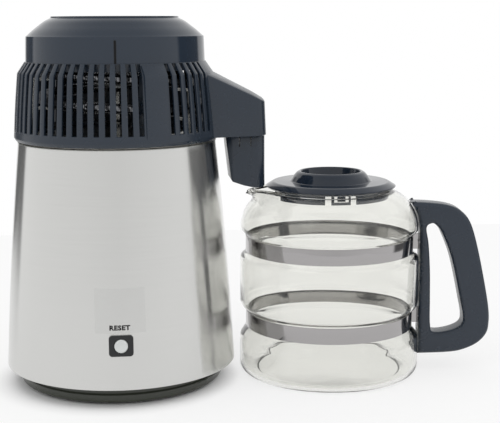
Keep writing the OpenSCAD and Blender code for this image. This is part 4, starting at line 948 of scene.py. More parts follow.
@dataclass
class BoilerBody:
    """Tapered steel shell, pot, pan and feet."""

    foot_r: float = 115.0
    top_r: float = 97.7
    foot_z: float = 19.0
    height: float = 221.6
    swell: float = 1.3
    sheet: float = 0.8
    hem: float = 9.2
    pot_r: float = 89.2
    pot_floor_z: float = 78.0
    pot_corner: float = 14.0
    hole_r: float = 8.3
    hole_z: float = 61.3
    inlet_z: float = 46.0
    socket_z: float = 226.0
    inlet_half: Point2 = (13.6, 9.8)
    socket_half: Point2 = (10.0, 6.0)
    cut_depth: float = 9.0
    foot_place: float = 88.5
    pan_outline: Outline = (
        (0.0, 2.0), (99.4, 2.0), (101.5, 4.0), (101.5, 9.6), (99.6, 11.4), (99.6, 17.2), (109.0, 17.2),
        (109.0, 19.0), (103.5, 19.0), (103.5, 24.0), (101.0, 24.0), (98.0, 14.7), (98.0, 7.5), (95.0, 4.5),
        (0.0, 4.5),
    )

    def radius(self, z: float) -> float:
        """Outer radius of the shell at a height."""
        t = (z - self.foot_z) / self.height
        return self.foot_r + (self.top_r - self.foot_r) * t + 4 * self.swell * t * (1 - t)

    def tilt(self, z: float) -> float:
        """Lean of the shell's wall at a height, in radians."""
        t = (z - self.foot_z) / self.height
        return math.atan((self.foot_r - self.top_r - 4 * self.swell * (1 - 2 * t)) / self.height)

    def front(self, z: float) -> Matrix:
        """A place on the shell's front, with -Y straight out."""
        return Matrix.Translation((0, -self.radius(z), z)) @ Matrix.Rotation(-self.tilt(z), 4, "X")

    def build(self) -> None:
        """Makes the skin, pot, pan and feet."""
        self.build_shell()
        self.build_pot()
        self.build_pan()
        dress_nodes(PLATED_STEEL, "pot_studs", "stud_nuts", "element_clamp")
        dress_nodes(PRESSED_ALUMINIUM, "heat_spreader")
        dress_nodes(POT_STEEL, "heater_element")
        dress_nodes(CONTACT_PLASTIC, "shut_off_thermostat", "thermal_cutout", "reset_switch")
        dress_nodes(WIRE_COVER, "mains_leads", "fan_leads")

    def build_shell(self) -> None:
        """Turns the shell from its curve, and cuts its holes for the bezel, inlet and fan socket."""
        top_z = self.foot_z + self.height
        heights = [self.foot_z + self.height * i / 40 for i in range(1, 40)]
        outer = [(self.radius(z), z) for z in [self.foot_z + 0.4] + heights + [top_z - 0.5]]
        hem_r = self.foot_r - self.sheet - self.hem
        roll = arc((self.foot_r - 0.3, self.foot_z + 0.25), 0.25, -90, -8, 2)
        edge = [(self.top_r - 0.15, top_z), (self.top_r - self.sheet + 0.1, top_z)]
        profile = [(hem_r, self.foot_z)] + roll + outer + edge
        profile += [(r - self.sheet, z) for r, z in reversed(outer)] + [(hem_r, self.foot_z + self.sheet)]
        shell = new_object("shell_blank", mesh_of("shell_blank", lathe(profile, steps=240)))
        deep = self.cut_depth
        drill = lathe([(0.0, -deep), (self.hole_r, -deep), (self.hole_r, deep), (0.0, deep)], steps=64)
        across = self.front(self.hole_z) @ Matrix.Rotation(math.pi / 2, 4, "X")
        rear = self.radius(self.inlet_z)
        (wide, high), (socket_w, socket_h) = self.inlet_half, self.socket_half
        cutters = [
            moved(drill, across),
            block((-wide, rear - deep, self.inlet_z - high), (wide, rear + deep, self.inlet_z + high)),
            block((-socket_w, 60.0, self.socket_z - socket_h), (socket_w, 120.0, self.socket_z + socket_h)),
        ]
        tools = [new_object("shell_cutter", mesh_of("shell_cutter", shape)) for shape in cutters]
        for tool in tools:
            cut = shell.modifiers.new("hole", "BOOLEAN")
            cut.operation, cut.solver, cut.object = "DIFFERENCE", "EXACT", tool
        mesh = baked(shell)
        for tool in tools:
            bpy.data.objects.remove(tool)
        add_piece("shell_skin", mesh, SHELL_STEEL, "boiler", ["outer_shell"], 50)

    def build_pot(self) -> None:
        """Turns the pot with a smooth corner and a rolled rim."""
        z, rim_r, t = self.foot_z + self.height, self.top_r + 0.2, self.sheet
        centre = (self.pot_r - 1.2 - self.pot_corner, self.pot_floor_z + self.pot_corner)
        rim = rounded([(self.pot_r, z), (rim_r, z), (rim_r, z + t), (self.pot_r - t, z + t)], 1.2, 3)
        outside = [(0.0, self.pot_floor_z)] + arc(centre, self.pot_corner, -90, 0, 10)
        inside = arc(centre, self.pot_corner - t, 0, -90, 10) + [(0.0, self.pot_floor_z + t)]
        bowl = lathe(outside + rim + inside, steps=180)
        add_piece("pot_bowl", bowl, POT_STEEL, "boiler", ["boiling_pot"], 50)

    def build_pan(self) -> None:
        """Turns the stepped pan and repeats the feet."""
        profile = rounded(self.pan_outline, 1.1, 4, range(1, 14))
        add_piece("pan_tub", lathe(profile, steps=200), PAN_PLASTIC, "boiler", ["base_pan"])
        foot = rounded([(0.0, 0.0), (8.0, 0.0), (8.0, 2.0), (0.0, 2.0)], 0.6, 3, [1, 2])
        item = lathe(foot, (0.0, -self.foot_place), 32)
        around("foot_pads", item, FOOT_RUBBER, "boiler", 4, 45, 90, stands_for=["rubber_feet"])


@dataclass
class ResetControl:
    """Square bezel, round button, its printed word and the clear film above."""

    shell: BoilerBody
    centre_z: float = 61.3
    width: float = 22.8
    height: float = 19.8
    corner: float = 3.2
    proud: float = 2.2
    button_r: float = 6.3
    cap_proud: float = 1.6
    travel: float = 2.0
    spring_r: float = 4.1
    spring_end: float = 5.6
    spring_turns: int = 4
    stem_r: float = 2.5
    stem_end: float = 10.9
    # Azimuth and height where the word and the film begin, and how far they reach
    word_start: Point2 = (-5.4, 75.8)
    word_size: Point2 = (4.5 + 5.4, 80.6 - 75.8)
    film_start: Point2 = (-12.5, 73.0)
    film_size: Point2 = (24.5, 42.0)

    def square(self, inset: float, depth: float, count: int = 96) -> np.ndarray:
        """Draws a ring on the bezel's rounded square.

        Args:
            inset: How far it is drawn in.
            depth: How far it stands out from the shell's front.
            count: Points in the ring.

        Returns:
            The points.
        """
        ring = []
        r = max(self.corner - inset, 0.3)
        hw, hh = self.width / 2 - inset, self.height / 2 - inset
        for k in range(count):
            a = 2 * math.pi * k / count
            c, s = math.cos(a), math.sin(a)
            reach = min(hw / max(abs(c), 1e-9), hh / max(abs(s), 1e-9))
            x, z = reach * c, reach * s
            over_x, over_z = abs(x) - (hw - r), abs(z) - (hh - r)
            if over_x > 0 and over_z > 0:
                scale = r / math.hypot(over_x, over_z)
                x = math.copysign(hw - r + over_x * scale, x)
                z = math.copysign(hh - r + over_z * scale, z)
            ring.append((x, -depth, z))
        return np.array(ring)

    def circle(self, radius: float, depth: float, count: int = 96) -> np.ndarray:
        """A ring on the button's bore."""
        turns = [2 * math.pi * k / count for k in range(count)]
        return np.array([(radius * math.cos(a), -depth, radius * math.sin(a)) for a in turns])

    def build(self) -> None:
        """Makes the bezel, button, word and film."""
        place = self.shell.front(self.centre_z)
        bore = self.button_r + 0.35
        proud, back, seat = self.proud, -5.5, -0.9
        rows = [
            self.square(0, seat), self.square(0, proud - 0.9), self.square(0.25, proud - 0.3),
            self.square(0.9, proud), self.circle(bore + 0.5, proud), self.circle(bore + 0.12, proud - 0.15),
            self.circle(bore, proud - 0.6), self.circle(bore, back), self.circle(bore + 1.5, back),
            self.circle(bore + 1.5, seat),
        ]
        frame_skin = moved(skin(rows + [rows[0]], caps=False), place)
        add_piece("bezel_frame", frame_skin, BEZEL_ABS, "boiler", ["reset_bezel"])
        top = self.proud + self.cap_proud
        r, stem_r, end = self.button_r, self.stem_r, self.stem_end
        cap = [(0.0, 0.0), (r, 0.0), (r, top - 1.3), (r - 0.35, top - 0.5), (r - 1.0, top - 0.05),
               (r - 1.7, top - 0.2), (2.6, top - 0.85), (0.0, top - 1.0)]
        stem = [(0.0, -end), (stem_r, -end), (stem_r, 0.2), (0.0, 0.2)]
        knob = merged(lathe(cap, steps=64), lathe(stem, steps=32))
        upright = place @ Matrix.Rotation(math.pi / 2, 4, "X")
        add_piece("button_cap", moved(knob, upright), BUTTON_ABS, "button", ["reset_button"], 40)
        self.build_spring(place)
        self.build_word()
        self.build_film()

    def build_spring(self, place: Matrix) -> None:
        """Winds the return spring round the stem, with room for the button's travel.

        Args:
            place: The place on the shell's front, with -Y straight out.
        """
        near, far = self.travel + 0.5, self.spring_end
        count = self.spring_turns * 24
        turns = [(2 * math.pi * i / 24, near + (far - near) * i / count) for i in range(count + 1)]
        r = self.spring_r
        path = [place @ Vector((r * math.cos(a), y, r * math.sin(a))) for a, y in turns]
        finned("spring_wire", path, PLATED_STEEL, "boiler", "reset_spring", 60, (0.35, 0.36, 0.5, 0.5))

    def on_skin(self, azimuth: float, z: float, lift: float) -> Point3:
        """Finds a point just off the shell.

        Args:
            azimuth: Its azimuth in degrees.
            z: Its height.
            lift: How far it stands off.

        Returns:
            The point.
        """
        r = self.shell.radius(z) + lift
        a = math.radians(azimuth)
        return r * math.sin(a), -r * math.cos(a), z

    def build_word(self) -> None:
        """Prints the word RESET on the shell, bent to its curve."""
        text = bpy.data.curves.new("reset_word", "FONT")
        text.body = "RESET"
        text.offset = 0.045
        text.space_character = 1.08
        text.resolution_u = 3
        mesh = baked(new_object("reset_word", text))
        flat = np.array([v.co for v in mesh.vertices])
        low, high = flat.min(0), flat.max(0)
        share = (flat - low) / np.maximum(high - low, 1e-9)
        for vertex, (u, v, _) in zip(mesh.vertices, share):
            azimuth = self.word_start[0] + self.word_size[0] * u
            z = self.word_start[1] + self.word_size[1] * v
            vertex.co = Vector(self.on_skin(azimuth, z, 0.16)) * MM
        mesh.update()
        add_piece("reset_word", faced_front(mesh), PRINT_INK, "boiler")

    def build_film(self) -> None:
        """Lays the bare clear film over the print's place."""
        cols, rows = 24, 12
        (az, z), (wide, high) = self.film_start, self.film_size
        points = [
            self.on_skin(az + wide * i / cols, z + high * j / rows, 0.1)
            for j in range(rows + 1) for i in range(cols + 1)
        ]
        starts = [j * (cols + 1) + i for j in range(rows) for i in range(cols)]
        faces = [(a, a + 1, a + cols + 2, a + cols + 1) for a in starts]
        mesh = mesh_of("label_film", (np.array(points), faces))
        add_piece("label_film", faced_front(mesh), LABEL_FILM, "boiler")


@dataclass
class RearConnections:
    """Power inlet at the back, and the contacts between body and head."""

    edge: float = 0.5

    def build(self) -> None:
        """Softens the mouldings and dresses the metal."""
        for node, body in (("power_inlet", "boiler"), ("fan_socket", "boiler"), ("fan_plug", "head")):
            softened(node, self.edge, CONTACT_PLASTIC, body)
        dress_nodes(BRASS_STRIP, "inlet_pins", "socket_contacts", "plug_pins")


@dataclass
class LouverRing:
    """Slatted ring with its lower rim, plain panel and collar."""

    slot_w: float = 4.7
    pitch: float = 6.0
    slat_front_t: float = 2.0
    slat_rear_t: float = 7.5
    edge: float = 0.55
    # Height, outer radius and inner radius of the wall
    levels: tuple[Point3, ...] = (
        (251.0, 100.6, 97.2), (254.0, 100.4, 97.2), (268.0, 99.45, 96.2), (282.0, 98.3, 95.1),
        (297.0, 96.9, 93.7), (307.4, 95.85, 92.0), (308.5, 95.55, 91.4), (309.6, 94.9, 90.8),
        (314.0, 91.9, 86.0), (319.2, 88.35, 84.3),
    )

    panel_side: Outline = (
        (249.0, 100.4), (254.0, 100.9), (282.0, 99.4), (300.0, 98.4), (307.0, 98.0), (309.3, 97.2),
        (317.4, 90.6),
    )
    panel_back: float = 84.0
    panel_edge: float = 0.8
    rim_outline: Outline = (
        (99.0, 243.0), (101.0, 246.5), (100.42, 253.7), (97.2, 253.7), (95.8, 246.0), (95.8, 243.0),
    )
    flange_outline: Outline = ((78.0, 246.0), (96.4, 246.0), (96.4, 249.0), (78.0, 249.0))
    collar_outline: Outline = (
        (81.3, 311.5), (84.3, 311.5), (84.3, 318.8), (88.55, 318.8), (88.25, 319.3), (84.9, 319.3),
        (84.9, 324.0), (81.3, 324.0),
    )
    # Facets, first azimuth and sweep of the stretches without slots
    plain_walls: tuple[tuple[int, float, float], ...] = (
        (24, 14.85, 15.3), (70, 62.85, 57.3), (100, 134.89, 87.22),
    )

    def bar_ring(self, z: float, outside: Point2, inside: Point2, e: float) -> np.ndarray:
        """Draws a bar's section at azimuth 0, with its two outer edges broken.

        Args:
            z: Height of the section.
            outside: Half width and radius of its outer face.
            inside: Half width and radius of its inner face.
            e: Width of the broken edges.

        Returns:
            The section's points.
        """
        half, out = outside
        side = [(half, out - e), (half - 0.3 * e, out - 0.3 * e), (half - e, out)]
        ring = [(-inside[0], inside[1]), inside] + side + [(-x, r) for x, r in reversed(side)]
        return np.array([(x, -r, z) for x, r in ring])

    def slat(self, depth: float) -> Shape:
        """One slat at azimuth 0, with its outer edges broken.

        Args:
            depth: How far the slat reaches inward, in mm.

        Returns:
            The slat's skin.
        """
        rows = []
        for z, out, _ in self.levels:
            outside, inside = ((r * math.radians(self.pitch) - self.slot_w) / 2 for r in (out, out - depth))
            rows.append(self.bar_ring(z, (outside, out), (inside, out - depth), self.edge))
        return skin(rows)

    def wall_profile(self) -> list[Point2]:
        """The full wall's outline, for the places without slots."""
        inner = [(inside, z) for z, _, inside in reversed(self.levels)]
        return [(out, z) for z, out, _ in self.levels] + inner

    def panel(self, azimuth: float, width: float) -> Shape:
        """Makes the plain raised panel, flat in front, with a chamfered top.

        Args:
            azimuth: Its middle in degrees.
            width: Its width.

        Returns:
            The panel's skin.
        """
        half, back = width / 2, self.panel_back
        rows = [self.bar_ring(z, (half, out), (half, back), self.panel_edge) for z, out in self.panel_side]
        return moved(skin(rows), Matrix.Rotation(math.radians(azimuth), 4, "Z"))

    def build(self) -> None:
        """Makes rim, slats, walls and collar."""
        wall = self.wall_profile()
        ring = merged(
            lathe(rounded(self.rim_outline, 0.9, 4), steps=240),
            lathe(rounded(self.flange_outline, 0.4, 2)),
            lathe(rounded(self.collar_outline, 0.25, 2), steps=240),
            *(lathe(wall, steps=n, start=at, sweep=sweep) for n, at, sweep in self.plain_walls),
            self.panel(22.5, 23.0),
        )
        add_piece("ring_wall", ring, SATIN_ABS, "head", ["louver_housing"])
        around("ring_slats", self.slat(self.slat_front_t), SATIN_ABS, "head", 37, -85.5, self.pitch,
               (22.5, 8.0, 91.5, 28.0))
        around("ring_slats_rear", self.slat(self.slat_rear_t), SATIN_ABS, "head", 8, -133.5, self.pitch)


@dataclass
class SpoutArm:
    """Short hollow arm that carries the outlet over the carafe."""

    root_x: float = 84.0
    end_x: float = 147.2
    low_z: float = 245.3
    root_hw: float = 39.0
    taper: float = math.atan(11 / 58.5)
    corner: float = 11.0
    crown_r: float = 140.0
    crown_z: float = 312.6
    crown_x: float = 87.5
    slope: float = math.atan(28.2 / 54.4)
    # How the end leans back over its height
    lean: float = 2.2
    lean_reach: float = 12.0
    lean_from: float = 249.8
    lean_height: float = 34.6
    # How the end's lower edge is cut under
    undercut: float = 2.6
    undercut_slope: float = 1.6
    undercut_reach: float = 4.0
    strips: int = 10
    # Each ring's inset, its distance from underside or top, and whether it follows the top
    levels: tuple[tuple[float, float, bool], ...] = (
        (1.5, 0.0, False), (0.35, 0.45, False), (0.0, 1.3, False), (0.0, 1.5, True), (0.12, 0.75, True),
        (0.45, 0.3, True), (1.5, 0.0, True),
    )

    def side(self, x: float) -> float:
        """Half of the arm's width at X."""
        return self.root_hw - (x - self.crown_x) * math.tan(self.taper)

    def top(self, x: float, y: float) -> float:
        """Height of the arched top over a point of the plan."""
        drop = (self.crown_r - math.sqrt(self.crown_r**2 - y**2)) / math.cos(self.slope)
        return self.crown_z - (x - self.crown_x) * math.tan(self.slope) - drop

    def half_plan(self, inset: float) -> list[Point2]:
        """Draws one side of the plan from the ring to the end.

        Args:
            inset: How far it is drawn in.

        Returns:
            The points.
        """
        cx = self.end_x - self.corner
        cy = self.side(cx) - self.corner / math.cos(self.taper)
        lean = math.degrees(self.taper)
        along = [self.root_x + (cx - self.root_x) * i / 10 for i in range(10)]
        straight = [(x, self.side(x) - inset / math.cos(self.taper)) for x in along]
        bend = arc((cx, cy), self.corner - inset, 90 - lean, 0, 10)
        front = [(bend[-1][0], bend[-1][1] * (1 - i / 4)) for i in range(1, 4)]
        return straight + bend + front

    def ring_at(self, inset: float, step: float, upper: bool) -> np.ndarray:
        """Draws one ring round the plan.

        Args:
            inset: How far it is drawn in.
            step: Its distance from the underside or the top.
            upper: Whether it follows the top.

        Returns:
            The ring's points.
        """
        half = self.half_plan(inset)
        ring = []
        for x, y in half + [(half[-1][0], 0.0)] + [(x, -y) for x, y in reversed(half)]:
            if upper:
                z = self.top(x, y) - step
                share = min(max((x - self.end_x + self.lean_reach) / self.lean_reach, 0), 1)
                x -= self.lean * share * min((z - self.lean_from) / self.lean_height, 1.0)
            else:
                z = self.low_z + step
                if x > self.end_x - self.undercut_reach:
                    x -= max(0.0, self.undercut - step * self.undercut_slope)
            ring.append((x, y, z))
        return np.array(ring)

    def build(self) -> None:
        """Makes the arm as rings round the plan, and closes its underside, top and root."""
        rings = [self.ring_at(*level) for level in self.levels]
        points, faces = skin(rings, caps=False)
        n, strips = len(rings[0]), self.strips
        extra: list[Point3] = []
        for base, upper in (((len(rings) - 1) * n, True), (0, False)):
            rows = []
            for i in range(n // 2):
                a, b = points[base + i], points[base + n - 1 - i]
                row = [base + i]
                for k in range(1, strips):
                    p = a + (b - a) * k / strips
                    z = p[2]
                    if upper:
                        z = self.top(p[0], p[1]) - (self.top(a[0], a[1]) - a[2])
                    row.append(len(points) + len(extra))
                    extra.append((p[0], p[1], z))
                row.append(base + n - 1 - i)
                rows.append(row)
            for i in range(len(rows) - 1):
                for k in range(strips):
                    faces.append((rows[i][k], rows[i][k + 1], rows[i + 1][k + 1], rows[i + 1][k]))
            faces.append(tuple(rows[-1]) + (base + n // 2,))
        root = [r * n for r in range(len(rings))]
        root_far = [r * n + n - 1 for r in reversed(range(len(rings)))]
        low_row = [len(points) + len(extra) - (n // 2) * (strips - 1) + k for k in range(strips - 1)]
        top_row = [len(points) + k for k in range(strips - 1)]
        faces = [f for f in faces if not (set(f) & set(root) and set(f) & set(root_far))]
        faces.append(tuple(root + top_row + root_far + list(reversed(low_row))))
        arm = (np.vstack([points, np.array(extra)]), faces)
        add_piece("arm_skin", arm, SATIN_ABS, "head", ["spout_arm"], 32)


@dataclass
class FanHead:
    """Glossy cover, grille, fan, finned coil and steam parts."""

    drum_r: float = 88.0
    drum_z: float = 319.3
    drum_h: float = 23.9
    open_r: float = 60.5
    disc_outline: Outline = (
        (0.0, 357.0), (12.5, 357.0), (12.5, 359.8), (9.5, 360.1), (8.6, 359.2), (7.6, 359.4), (6.8, 360.1),
        (0.0, 360.1),
    )
    spoke_outline: Outline = ((-11.5, 357.1), (-59.6, 357.1), (-59.6, 359.4), (-11.5, 359.4))
    spoke_hw: float = 1.1
    hub_outline: Outline = (
        (0.0, 346.0), (5.0, 346.0), (5.0, 347.6), (18.4, 347.6), (20.0, 346.0), (20.0, 333.0), (18.0, 333.0),
        (18.0, 345.0), (5.0, 345.0), (5.0, 334.0), (0.0, 334.0),
    )
    blade_z: float = 341.0
    blade_root_r: float = 19.0
    blade_span: float = 35.0
    # Pitch in degrees and chord at the root, and how much they change toward the tip
    blade_pitch: Point2 = (44.0, -16.0)
    blade_chord: Point2 = (23.0, 8.0)
    blade_half_t: float = 0.95
    blade_camber: float = 1.6
    blade_rise: float = 0.86
    coil_r: float = 72.0
    coil_bend: float = 14.0
    coil_pitch: float = 28.0
    coil_inner_r: float = 50.0
    coil_low: float = 277.2
    coil_end_az: float = -525.0
    coil_turn_in_az: float = -450.0
    coil_stub: float = 9.6
    shank_r: float = 1.45

    def build(self) -> None:
        """Makes the head's pieces."""
        self.build_cover()
        self.build_grille()
        self.build_fan()
        self.build_coil()
        self.build_screws()
        dress_nodes(PLATED_STEEL, "fan_motor", "motor_bracket", "motor_shaft", "blade_clip")
        dress_nodes(SHADED_TUBE_STEEL, "steam_pipe", "drip_pipe")
        dress_nodes(POT_STEEL, "coil_clips")
        dress_nodes(PLATE_STEEL, "steam_plate")
        dress_nodes(SILICONE, "head_gasket")
        dress_nodes(WIRE_COVER, "motor_leads")

    def build_cover(self) -> None:
        """Turns the drum and dome as one glossy cover."""
        r, z = self.drum_r, self.drum_z + self.drum_h
        mouth, low = self.open_r, self.drum_z
        side = [(r - 0.35, low), (r - 0.3, low + 0.6), (r - 1.1, z - 0.9), (r - 1.35, z + 0.3)]
        bend = [(r - 2.8, z + 1.4), (r - 8.1, z + 6.2), (r - 13.0, z + 10.0), (r - 19.3, z + 14.7)]
        dome = smooth_line(bend + [(mouth + 2.2, z + 17.7)], 4)
        lip = [(mouth + 1.9, z + 18.0), (mouth + 1.85, z + 19.1), (mouth + 1.5, z + 19.3),
               (mouth + 0.3, z + 19.3), (mouth, z + 19.0), (mouth, 357.0), (57.5, 357.0), (57.5, 354.5)]
        inner = [(r - 20.8, z + 11.5), (r - 14.7, z + 7.4), (r - 9.9, z + 3.6), (r - 3.8, z - 1.8),
                 (r - 2.5, low + 6.0), (r - 2.5, low)]
        cover = lathe(side + dome + lip + inner, steps=240)
        add_piece("cover_shell", cover, COVER_ABS, "head", ["head_cover"], 40)

    def build_grille(self) -> None:
        """Makes the top grille from rings, spokes and a centre disc."""
        disc = lathe(rounded(self.disc_outline, 0.5, 3, range(1, 7)), steps=96)
        sizes = {"First Radius": 12, "Step": 7.33, "Bar Width": 2.4, "Bar Height": 2.8, "Level": 358.5,
                 "Corner": 0.45}
        values = {"Count": 7, **{name: size * MM for name, size in sizes.items()}}
        mesh = REPEATER.run(Pattern.RINGS, "grille_rings", mesh_of("disc", disc), SATIN_ABS, values)
        add_piece("grille_rings", mesh, SATIN_ABS, "head", ["fan_grille"], 40)
        bar = rounded(self.spoke_outline, 0.5, 2)
        rows = [np.array([(x, y, z) for y, z in bar]) for x in (-self.spoke_hw, self.spoke_hw)]
        around("grille_spokes", skin(rows), SATIN_ABS, "head", 10, 0, 36)

    def build_fan(self) -> None:
        """Makes the hub and repeats one twisted blade round it."""
        hub = rounded(self.hub_outline, 1.0, 4, range(1, 10))
        add_piece("fan_hub", lathe(hub, steps=96), CONTACT_PLASTIC, "fan", ["fan_blade"])
        rows = []
        for i in range(9):
            r = self.blade_root_r + self.blade_span * i / 8
            pitch = math.radians(self.blade_pitch[0] + self.blade_pitch[1] * i / 8)
            chord = self.blade_chord[0] + self.blade_chord[1] * math.sin(math.pi * min(i / 7, 1))
            section = []
            for k in range(16):
                a = 2 * math.pi * k / 16
                u, v = math.cos(a) * chord / 2, math.sin(a) * self.blade_half_t
                v += self.blade_camber * (1 - (2 * u / chord) ** 2)
                x, z = u * math.cos(pitch) + v * math.sin(pitch), -u * math.sin(pitch) + v * math.cos(pitch)
                lag = x / r
                section.append((r * math.sin(lag), -r * math.cos(lag), self.blade_z + z * self.blade_rise))
            rows.append(np.array(section))
        around("fan_blades", skin(rows), CONTACT_PLASTIC, "fan", 5, 0, 72)

    def coil_path(self) -> list[Sequence[float]]:
        """Follows the coil's middle line from the outlet to the steam inlet.

        Returns:
            The line's points.
        """
        coil_r, bend_r, end_az, steps = self.coil_r, self.coil_bend, self.coil_end_az, 240
        low_az = math.degrees(math.acos(bend_r / (coil_r + bend_r)))
        exit_x = (coil_r + bend_r) * math.sin(math.radians(low_az))
        low_z = self.coil_low - self.coil_pitch * low_az / 360
        path: list[Sequence[float]] = [(exit_x + self.coil_stub, 0.0, low_z)]
        for i in range(8):
            h = math.radians(low_az * i / 8)
            path.append((exit_x - bend_r * math.sin(h), bend_r * (math.cos(h) - 1), low_z))
        for i in range(steps + 1):
            az = low_az + (end_az - low_az) * i / steps
            t = min(max((self.coil_turn_in_az - az) / 75, 0), 1)
            r = coil_r + (self.coil_inner_r - coil_r) * t * t * (3 - 2 * t)
            a = math.radians(az)
            z = self.coil_low - self.coil_pitch * max(az, self.coil_turn_in_az) / 360
            path.append((r * math.sin(a), -r * math.cos(a), z))
        a = math.radians(end_az)
        return path + [tuple(np.array(path[-1]) + self.coil_stub * np.array([-math.cos(a), -math.sin(a), 0]))]

    def build_coil(self) -> None:
        """Draws the finned tube along the coil's path."""
        path = self.coil_path()
        # The tube's darkened steel is painted shade for the inside of the head
        finned("coil_fins", path, SHADED_TUBE_STEEL, "head", "condenser_coil", 50, (4.8, 5.95, 2.3, 0.11))

    def screw(self, r: float, z: float, head_d: float, head_h: float, length: float) -> Shape:
        """Makes a screw at azimuth 0: a domed head that faces down, with its shank above.

        Args:
            r: Distance from the boiler's axis.
            z: Height of the head's seat.
            head_d: The head's diameter.
            head_h: The head's height.
            length: The shank's length.

        Returns:
            The screw.
        """
        head_r, low = head_d / 2, z - head_h
        side_z = z - head_h * 0.4
        outline = [(0.0, z), (1.5, z), (head_r, z), (head_r, side_z), (head_r - 0.8, low), (0.0, low)]
        shank = [(0.0, z), (self.shank_r, z), (self.shank_r, z + length - 1), (0.0, z + length)]
        head = rounded(outline, 0.4, 3, [2, 3, 4])
        return merged(lathe(head, (0.0, -r), 24), lathe(shank, (0.0, -r), 16))

    def build_screws(self) -> None:
        """Repeats the three sets of screws."""
        for name, sizes, count, first in (
            ("cover_screw", (76.3, 321.0, 5.6, 2.2, 13.0), 4, 45),
            ("bracket_screw", (75.8, 326.0, 5.6, 2.2, 11.0), 3, 0),
            ("plate_screw", (81.0, 245.2, 5.6, 1.8, 6.5), 4, 30),
        ):
            item, step = self.screw(*sizes), 360 / count
            around(name + "_set", item, PLATED_STEEL, "head", count, first, step, stands_for=[name + "s"])


@dataclass
class DripNozzle:
    """Clip-on cup under the arm, and its basket, shifted in +X to the photograph's place."""

    shift: float = 2.0

    def build(self) -> None:
        """Softens the cup and the basket."""
        aside = Matrix.Translation((self.shift * MM, 0.0, 0.0))
        for node, edge, finish in (("nozzle_cup", 0.6, SATIN_ABS), ("filter_basket", 0.3, BASKET_PLASTIC)):
            softened(node, edge, finish, "nozzle").data.transform(aside)


